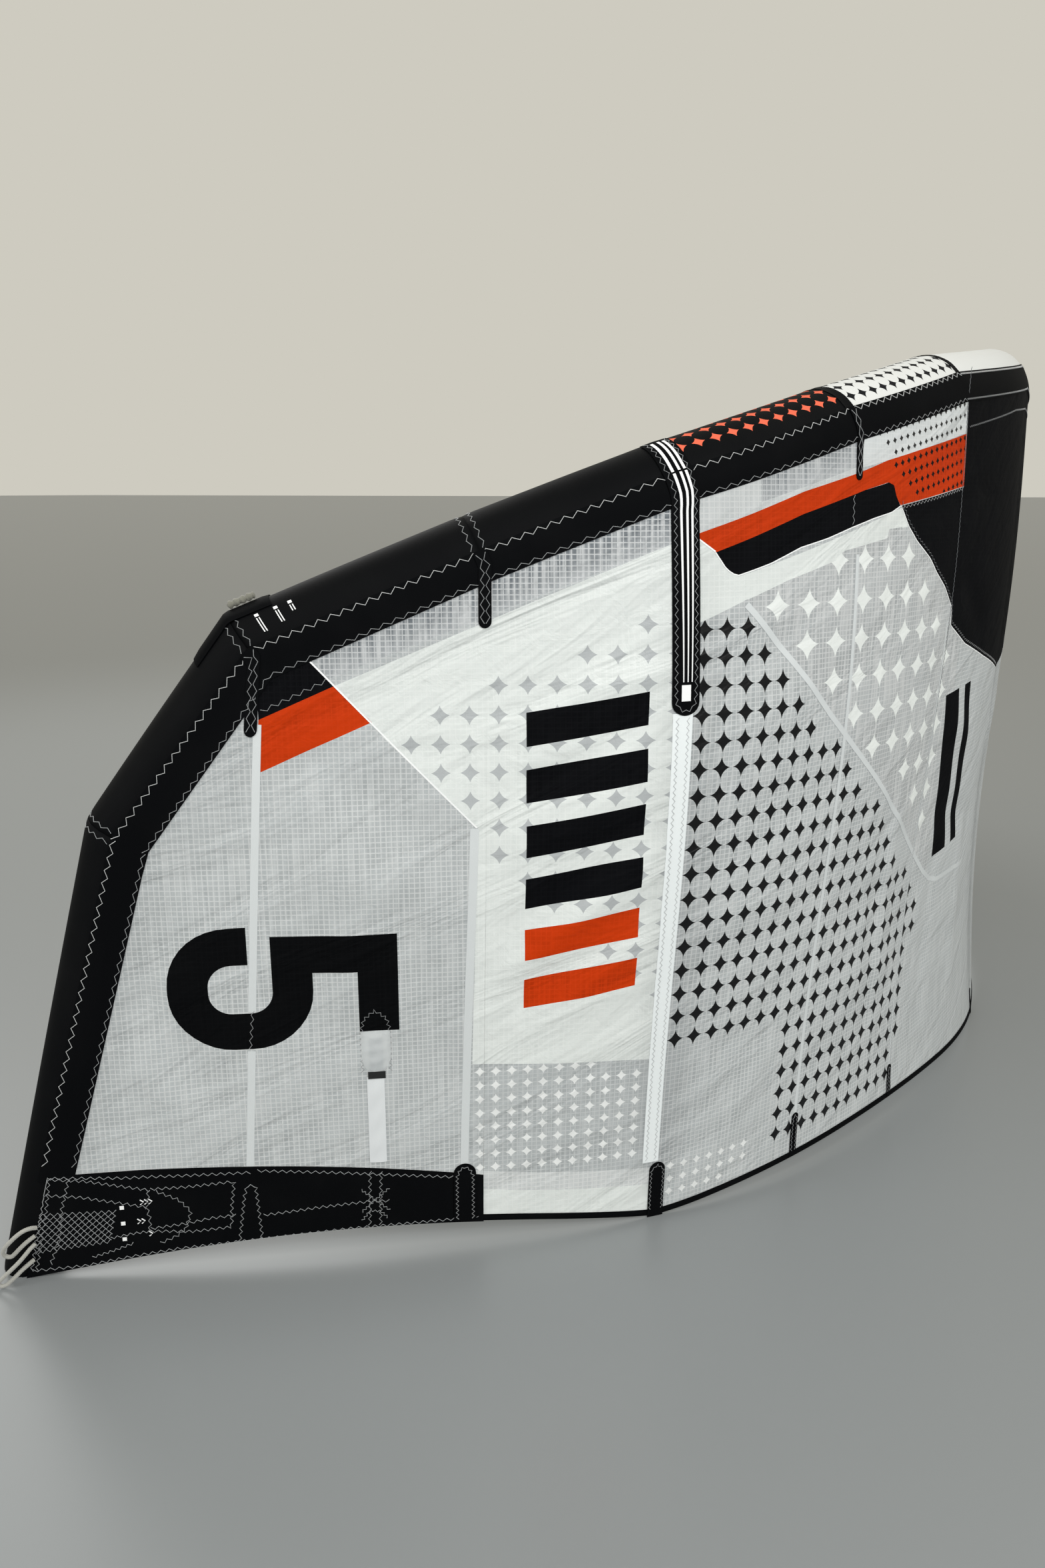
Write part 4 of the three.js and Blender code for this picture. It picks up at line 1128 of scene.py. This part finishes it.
# Narrow tapes in one piece, each with its path and its width, or its widths at both ends.
def tapePiece(name, side, carrier, rows, place, finish, lift, thick=0.3):
    bm = bmesh.new()
    uvLayer = bm.loops.layers.uv.new("cloth")
    for path, wide in rows:
        long, widths = pathLong(path), wide if isinstance(wide, tuple) else (wide, wide)
        cells = max(2, round(long / printed["tapeMm"]))
        for vert in bmesh.ops.create_grid(bm, x_segments=cells, y_segments=2, size=0.5)["verts"]:
            along, out = vert.co.x + 0.5, vert.co.y
            for loop in vert.link_loops:
                loop[uvLayer].uv = (along * long / 1000, out * widths[0] / 1000)
            at, height, square = followPath(path, along * long)
            reach = out * lerp(*widths, along)
            vert.co = (at + square[0] * reach, height + square[1] * reach, 0)
    bmesh.ops.recalc_face_normals(bm, faces=bm.faces[:])
    for face in bm.faces:
        face.smooth = True
        if face.normal.z < 0:
            face.normal_flip()
    for vert in bm.verts:
        vert.co = place(side, vert.co.x, vert.co.y, lift)
    if side < 0:
        bmesh.ops.reverse_faces(bm, faces=bm.faces[:])
    sewTrim(meshObject(name + sides[side], bm, [finish], thick), side, carrier)


threadMm = {"greyThread": 0.9, "dimThread": 0.9, "paleThread": 0.8, "sunk": 0.1, "heavy": 1.1, "joint": 1.0}


# Zigzag stitching: a thread from side to side of its path, laid as a thin round cord. Each row gives what it
# lies on, its path, pitch and swing.
def stitchPiece(name, side, carrier, rows, thread, thick=None):
    thick = thick or threadMm[thread]
    curve = bpy.data.curves.new(name, "CURVE")
    curve.dimensions = "3D"
    curve.bevel_depth = thick / 2000
    curve.bevel_resolution = 0
    for place, path, pitch, swing in rows:
        long = pathLong(path)
        count = max(2, round(2 * long / pitch))
        spline = curve.splines.new("POLY")
        spline.points.add(count)
        for i, knot in enumerate(spline.points):
            at, height, square = followPath(path, long * i / count)
            away = swing / 2 * (1 if i % 2 else -1)
            point = place(side, at + square[0] * away, height + square[1] * away, thick / 2 - threadMm["sunk"])
            knot.co = (*point, 1)
    holder = addObject("thread", curve)
    bpy.context.view_layer.update()
    mesh = bpy.data.meshes.new_from_object(holder)
    bpy.data.objects.remove(holder)
    mesh.materials.clear()
    mesh.materials.append(finishes[thread])
    mesh.name = name + sides[side]
    sewTrim(addObject(mesh.name, mesh), side, carrier)


# Seam tapes on the sail: the sheet that carries them, path and width
seamTapes = {
    "lift": 0.3,
    "thick": 0.15,
    "kinds": {
        "Pale": ("seamTape", [
            ("sailWing", [(1652, 812), (1682, 402)], 11),
            ("sailWing", [(1686.2, 341), (1700, 150)], 11),
            ("sailWing", [(1370, 666), (1379, 406), (1387, 119)], 12),
            ("sailCrown", [(806, 82), (803, 600), (801, 1020)], 7),
            ("sailCrown", [(521, 66), (500, 700), (498, 900)], 7),
            ("sailCrown", [(1011, 960), (841, 790), (640, 612), (450, 447), (412, 424), (380, 414), (217, 411)], 9),
        ]),
        "Strip": ("strutTape", [("sailStrut", [(1097, 100), (1097, 818)], 26)]),
        "White": ("whiteMark", [
            ("sailWing", [(1583, 897), (1550, 862), (1504, 813), (1448, 753), (1367, 667)], 2.2),
            ("sailWing", [(1654, 816), (1658, 748)], 2.4),
            ("sailInner", [(1086, 1052), (1057, 1031)], 2.0),
            ("sailCrown", crownEdge, 1.8),
            ("sailInner", [(1057, 1030), (1043, 1010), (1034, 1002), (1024, 999), (972, 1013), (918, 1033), (866, 1044),
                           (815, 1058), (764, 1070), (719, 1078), (695, 1087)], 1.5),
        ]),
    },
}

# Lines on the black cloth, the print's lower edges and the seams: carrier, thread, path, pitch and swing
seamLines = [
    ("sailMiddle", "dimThread", [(461, 1209), (200, 1248), (8, 1262)], 7, 2.6),
    ("sailCrown", "greyThread", [(694, 1084), (580, 1098), (475, 1112)], 11, 4),
    ("sailTip", "greyThread", [(1646, 829), (1600, 850), (1560, 869)], 16, 5),
    ("sailMiddle", "dimThread", [(470, 1300), (482, 1000), (500, 700), (519, 70)], 8, 2.4),
    ("sailCrown", "dimThread", [(at - 3, height + 6) for at, height in crownEdge], 9, 3.6),
    ("sailWing", "greyThread", [(1688, 344), (1681, 404)], 13, 4),
    ("sailInner", "greyThread", [(811, 1103), (812, 1062)], 12, 4),
]
stripLines = {"acrosses": (1104, 1090), "low": 104, "high": 812, "pitch": 9, "swing": 3.5}

# Zigzag lines on the tip band: path, pitch and swing in flat millimetres
tipLines = [
    ([(1988, 159), (1931, 150), (1846, 127)], 11, 4.5),
    ([(1846, 127), (1850, 96), (1847, 78), (1849, 59)], 11, 4.5),
    ([(1995, 134), (1940, 125), (1880, 108), (1851, 99)], 11, 4.5),
    ([(1843, 128), (1788, 128), (1724, 131), (1730, 88), (1732, 55), (1788, 53), (1848, 59)], 11, 4.5),
    ([(1847, 63), (1797, 67), (1761, 73), (1725, 74)], 11, 4.5),
    ([(1836, 124), (1805, 108), (1788, 87), (1798, 58), (1812, 47), (1835, 38)], 11, 4.5),
    ([(1722, 29), (1711, 104), (1706, 122), (1694, 121), (1692, 87), (1689, 29)], 11, 4.5),
    ([(1954, 155), (1968, 106), (1976, 57), (1991, 20)], 11, 4.5),
    ([(1987, 160), (1996, 107), (2008, 56), (2018, 12)], 11, 4.5),
    ([(1980, 160), (1989, 107), (2001, 56), (2011, 12)], 11, 4.5),
    ([(2016, 12), (1943, 12), (1887, 19), (1811, 26), (1686, 30), (1560, 35), (1400, 36), (1366, 35)], 12, 4.5),
    ([(1932, 25), (1901, 33), (1873, 42)], 9, 4),
    ([(1904, 54), (1872, 58), (1849, 59)], 9, 4),
    ([(1984, 160), (1877, 150), (1802, 147), (1700, 144)], 12, 4.5),
    ([(1690, 146), (1600, 136), (1500, 123), (1404, 110)], 12, 4.5),
    ([(1685, 70), (1607, 76), (1528, 79), (1500, 78)], 11, 4.5),
    ([(1527, 131), (1530, 38)], 11, 4.5),
    ([(1511, 129), (1514, 37)], 11, 4.5),
    ([(1541, 47), (1529, 63), (1513, 61), (1503, 49)], 7, 3.5),
    ([(1541, 100), (1500, 62)], 7, 3.5),
    ([(1500, 100), (1541, 62)], 7, 3.5),
]
meshCorner = {"rows": 11, "left": ((1999, 101), (2010, 42)), "right": ((1893, 97), (1905, 49)), "pitch": 10,
              "swing": 5.4}

# The stitched tab at the tip band's inner end
endTab = {"across": 1386, "width": 34, "low": 33, "top": 131, "thick": 1.0, "rowMm": 4, "columnShare": 0.2,
          "onCloth": 1.5, "onBand": 0.9,
          "edge": [(-12, 36), (-12, 112), (-7, 122), (0, 126), (7, 122), (12, 112), (12, 36)], "pitch": 8, "swing": 4}

# Plain printed marks: squares and chevrons on the tip band, squares with bars on the tube
tipMarks = [([(1885, y - 3), (1885, y + 3)], 6) for y in (102, 76, 50)]
for count, across, height in ((3, 1854, 108), (2, 1860, 77), (1, 1845, 55)):
    tipMarks += [([(x + 5, height + 4), (x, height), (x + 5, height - 4)], 1.7)
                 for x in (across - 6 * i for i in range(count))]
tubeMarks = {"squares": ((1620, 25), (1596, 29), (1578, 38)), "arc": 53, "size": 5, "barWide": 1.3, "barShift": 1.6}

# The edge band's two lines of zigzag: pitch and swing on the middle length, on the others, thread and thickness
bandLines = {"Upper": ((5, 2.6), (18, 6.5), "paleThread", 1.1), "Lower": ((6, 2.4), (18, 5), "greyThread", 0.9)}
bandLineEnds = {"inset": 4.5, "start": 12, "end": 1980, "stepMm": 30}

# The strut band's stitched edge and its three tapering stripes, and the zigzags beside the tube's joints
bandTrim = {
    "edge": [(-13, 96), (-13, -268), (-11, -280), (-5, -286), (5, -286), (11, -280), (13, -268), (13, 96)],
    "stripes": ((7, 3.7), (-1.6, -2.1), (-8.9, -7.5)), "high": 90, "low": -246, "widths": (3.8, 1.3),
    "tag": ([(0, -250), (0, -272)], 12),
}
rings = {
    "tapes": [([(800, 40), (800, 215)], 17), ([(480, 41), (480, 215)], 11)],
    "joints": ((1652, 15), (1846, 12), (1352, 22)), "shift": 8, "far": 150, "pitch": 16, "swing": 4.6,
}

# The dark batten's end and the crinkled clear cap over it
batten = {
    "end": ([(1512, 288), (1512, 299)], 25), "rod": ([(1512, 300), (1512, 352)], 19), "capLow": 292, "capTop": 364,
    "capHalf": 21, "capRise": 4.5, "crinkle": 0.8, "columnShare": 0.1, "rowMm": 3, "film": 0.2,
    "stitches": [(1532, 298), (1532, 366), (1528, 384), (1512, 398), (1496, 384), (1492, 366), (1492, 298)],
}


def endTabPlace(side, column, up):
    at = endTab["across"] + column * halfWidth(endTab["width"] / 2, endTab["top"] - up)
    over = smooth((tipBandTop(max(at, wingSeam)) + 3 - up) / 8) if at > wingSeam else 0
    return onCloth(side, at, up, lerp(endTab["onCloth"], tipBand["off"] + tipBand["thick"] + endTab["onBand"], over))


def capPlace(side, column, up):
    half = batten["capHalf"] * (1 - 0.8 * (1 - clamp((up - batten["capLow"]) / 40)) ** 3)
    reach = (batten["capTop"] - batten["capLow"]) / 2
    rise = (1 - column ** 2) * (1 - ((up - batten["capLow"] - reach) / (reach + 1)) ** 2)
    crinkle = batten["crinkle"] * sin(up / 4.1 + 3 * column) * sin(up / 9.7 - 2 * column)
    at = pocket["across"] - 2 + column * half
    return sailPlace(side, at, up, 0.4 + max(0, rise) * (batten["capRise"] + crinkle))


def trimTipBand(side, suffix):
    radius = endTab["width"] / 2
    tab = clothGrid("endTab" + suffix, steps(-1, 1, endTab["columnShare"]),
                    roundRows(endTab["top"], endTab["low"], radius, endTab["rowMm"]),
                    lambda column, up: endTabPlace(side, column, up), lambda column, up: (column * radius, up),
                    "blackWebbing", endTab["thick"], flip=side < 0)
    sewTrim(tab, side, "tipBand")
    rows = [(tipBandPlace, *line) for line in tipLines]
    edge = [(endTab["across"] + x, up) for x, up in endTab["edge"]]
    rows.append((endTabTop, edge, endTab["pitch"], endTab["swing"]))
    for i in range(meshCorner["rows"]):
        share = i / (meshCorner["rows"] - 1)
        ends = [tuple(lerp(a, b, share) for a, b in zip(*meshCorner[end])) for end in ("left", "right")]
        rows.append((tipBandPlace, ends, meshCorner["pitch"], meshCorner["swing"] * (1 if i % 2 else -1)))
    stitchPiece("tipBandStitches", side, "tipBand", rows, "greyThread", threadMm["heavy"])
    tapePiece("tipBandMarks", side, "tipBand", tipMarks, tipBandPlace, "whiteMark", printed["thick"],
              printed["thick"])


def stitchBand(side):
    for line, (close, wide, thread, thick) in bandLines.items():
        rows = []
        for segment in segments:
            stops = steps(max(segment["a"][0], bandLineEnds["start"]), min(segment["b"][0], bandLineEnds["end"]),
                          bandLineEnds["stepMm"])
            inset = bandLineEnds["inset"]
            path = [(at, bandEdges(at)[1] - inset if line == "Upper" else inset - bandEdges(at)[0]) for at in stops]
            pitch, swing = close if segment is segments[0] else wide
            rows.append((bandTopPlace, path, pitch * cos(segment["slope"]), swing))
        stitchPiece("band" + line + "Stitches", side, "edgeBand", rows, thread, thick)


# Two mirrored zigzags make a chain of diamonds. The strut's band and the tabs are stitched round their edges.
def stitchStraps(side):
    for name, row in straps["pieces"].items():
        place, x = strapTop(strapPlace, row, straps["thick"]), row["width"] * 0.21
        rows = [(place, bandTrim["edge"], 12, 4)]
        if name != "strutBand":
            rows = [(place, [(x * turn, row["over"] - 3), (x * turn, 6 - row["below"])], 16, -0.3 * row["width"] * turn)
                    for turn in (-1, 1)]
        stitchPiece(name + "Stitches", side, name, rows, "greyThread")
    for name, row in tabs["pieces"].items():
        wide, top = row["width"] / 2 - 3, row["height"]
        edge = [(-wide, 14), (-wide, top - wide - 3), (0, top - 4), (wide, top - wide - 3), (wide, 14)]
        stitchPiece(name + "Stitches", side, name, [(strapTop(tabPlace, row, tabs["thick"]), edge, 8, 3)],
                    "greyThread", tabs["threadMm"])
    onBand = strapTop(strapPlace, straps["pieces"]["strutBand"], straps["thick"])
    high, low = bandTrim["high"], bandTrim["low"]
    lines = [([(x, high), (footX, low)], bandTrim["widths"]) for x, footX in bandTrim["stripes"]]
    tapePiece("strutBandStripes", side, "strutBand", lines, onBand, "whiteMark", printed["lift"], printed["thick"])
    tapePiece("strutBandTag", side, "strutBand", [bandTrim["tag"]], onBand, "whiteMark", 0.15, 0.4)


# Rings of black cloth over the tube at its joints, the seams' zigzags round it, and its printed marks.
def trimTube(side):
    tapePiece("jointRings", side, None, rings["tapes"], tubePlace, "blackPolyester", 0.5, 0.5)
    around = []
    for joint, arc in rings["joints"]:
        for shift in (-rings["shift"], rings["shift"]):
            lean = cos(segmentAt(joint + shift)["slope"])
            at = joint + shift * lean
            around.append((tubePlace, [(at, arc), (at, rings["far"])], rings["pitch"], rings["swing"] * lean))
    stitchPiece("jointStitches", side, None, around, "greyThread", threadMm["joint"])
    arc, size, barShift = tubeMarks["arc"], tubeMarks["size"], tubeMarks["barShift"]
    marks = [([(at, arc - size / 2), (at, arc + size / 2)], size) for at, barTo in tubeMarks["squares"]]
    marks += [([(at + shift, arc - size), (at + shift, barTo)], tubeMarks["barWide"])
              for at, barTo in tubeMarks["squares"] for shift in (-barShift, barShift)]
    tapePiece("tubeMarks", side, None, marks, tubePlace, "whiteMark", printed["lift"], printed["thick"])


def trimBatten(side, suffix):
    tapePiece("battenEnd", side, "battenPocket", [batten["end"]], sailPlace, "blackNylon", 1.9, 1.2)
    tapePiece("battenRod", side, "battenPocket", [batten["rod"]], sailPlace, "battenShade", 0.6, 1.0)
    cap = clothGrid("battenCap" + suffix, steps(-1, 1, batten["columnShare"]),
                    steps(batten["capLow"], batten["capTop"], batten["rowMm"]),
                    lambda column, up: capPlace(side, column, up), lambda column, up: (column * 17, up), "clearFilm",
                    batten["film"], flip=side < 0)
    sewTrim(cap, side, "battenPocket")
    stitchPiece("capStitches", side, "battenPocket", [(sailPlace, batten["stitches"], 9, 4.5)], "greyThread")


for side, suffix in sides.items():
    for kind, (finish, tapes) in seamTapes["kinds"].items():
        for n, (carrier, path, wide) in enumerate(tapes):
            tapePiece("tape" + kind + str(n + 1), side, carrier, [(path, wide)], sailPlace, finish, seamTapes["lift"],
                      seamTapes["thick"])
    trimTipBand(side, suffix)
    stitchBand(side)
    for n, (carrier, thread, path, pitch, swing) in enumerate(seamLines):
        stitchPiece("seamStitches" + str(n + 1), side, carrier, [(sailPlace, path, pitch, swing)], thread)
    rows = [(stripPlace, [(at, stripLines["low"]), (at, stripLines["high"])], stripLines["pitch"], stripLines["swing"])
            for at in stripLines["acrosses"]]
    stitchPiece("strutSeamStitches", side, "sailStrut", rows, "paleThread")
    stitchStraps(side)
    trimTube(side)
    trimBatten(side, suffix)
print("the seams are taped and stitched")

# Studio: a pale floor, a plain backdrop and soft light
studio = {
    "floor": "#85898b", "floorRoughness": 0.35, "floorReach": 200, "wall": "#cecbc0", "worldLight": 1.0,
    "lamps": {
        "keyLamp": {"place": (-3.3, -3.0, 2.9), "aim": (-0.6, 0, 0.5), "size": 2.6, "power": 138},
        "fillLamp": {"place": (-3.6, 1.6, 2.6), "aim": (-0.6, 0, 0.6), "size": 2.2, "power": 42},
        "backLamp": {"place": (1.6, 3.4, 3.4), "aim": (0, 0, 0.6), "size": 2.6, "power": 60},
    },
}


# Smooth grey floor paint: a soft sheen that takes the kite's shade
def floorPaint(tree):
    return addNode(tree, "BsdfPrincipled", {"Base Color": linear(studio["floor"]),
                                            "Roughness": studio["floorRoughness"]})


finishes["paintedFloor"] = newMaterial("paintedFloor", floorPaint)
bm = bmesh.new()
bmesh.ops.create_grid(bm, x_segments=1, y_segments=1, size=studio["floorReach"])
meshObject("floor", bm, ["paintedFloor"])
world = bpy.data.worlds.new("studioWorld")
world.use_nodes = True
backdrop = world.node_tree.nodes["Background"]
backdrop.inputs[0].default_value = linear(studio["wall"])
backdrop.inputs[1].default_value = studio["worldLight"]
bpy.context.scene.world = world
bpy.context.scene.view_settings.view_transform = "Standard"
for name, lamp in studio["lamps"].items():
    data = bpy.data.lights.new(name, "AREA")
    data.size = lamp["size"]
    data.energy = lamp["power"]
    light = addObject(name, data)
    light.location = lamp["place"]
    light.rotation_euler = (Vector(lamp["aim"]) - Vector(lamp["place"])).to_track_quat("-Z", "Y").to_euler()
print("the studio is lit")
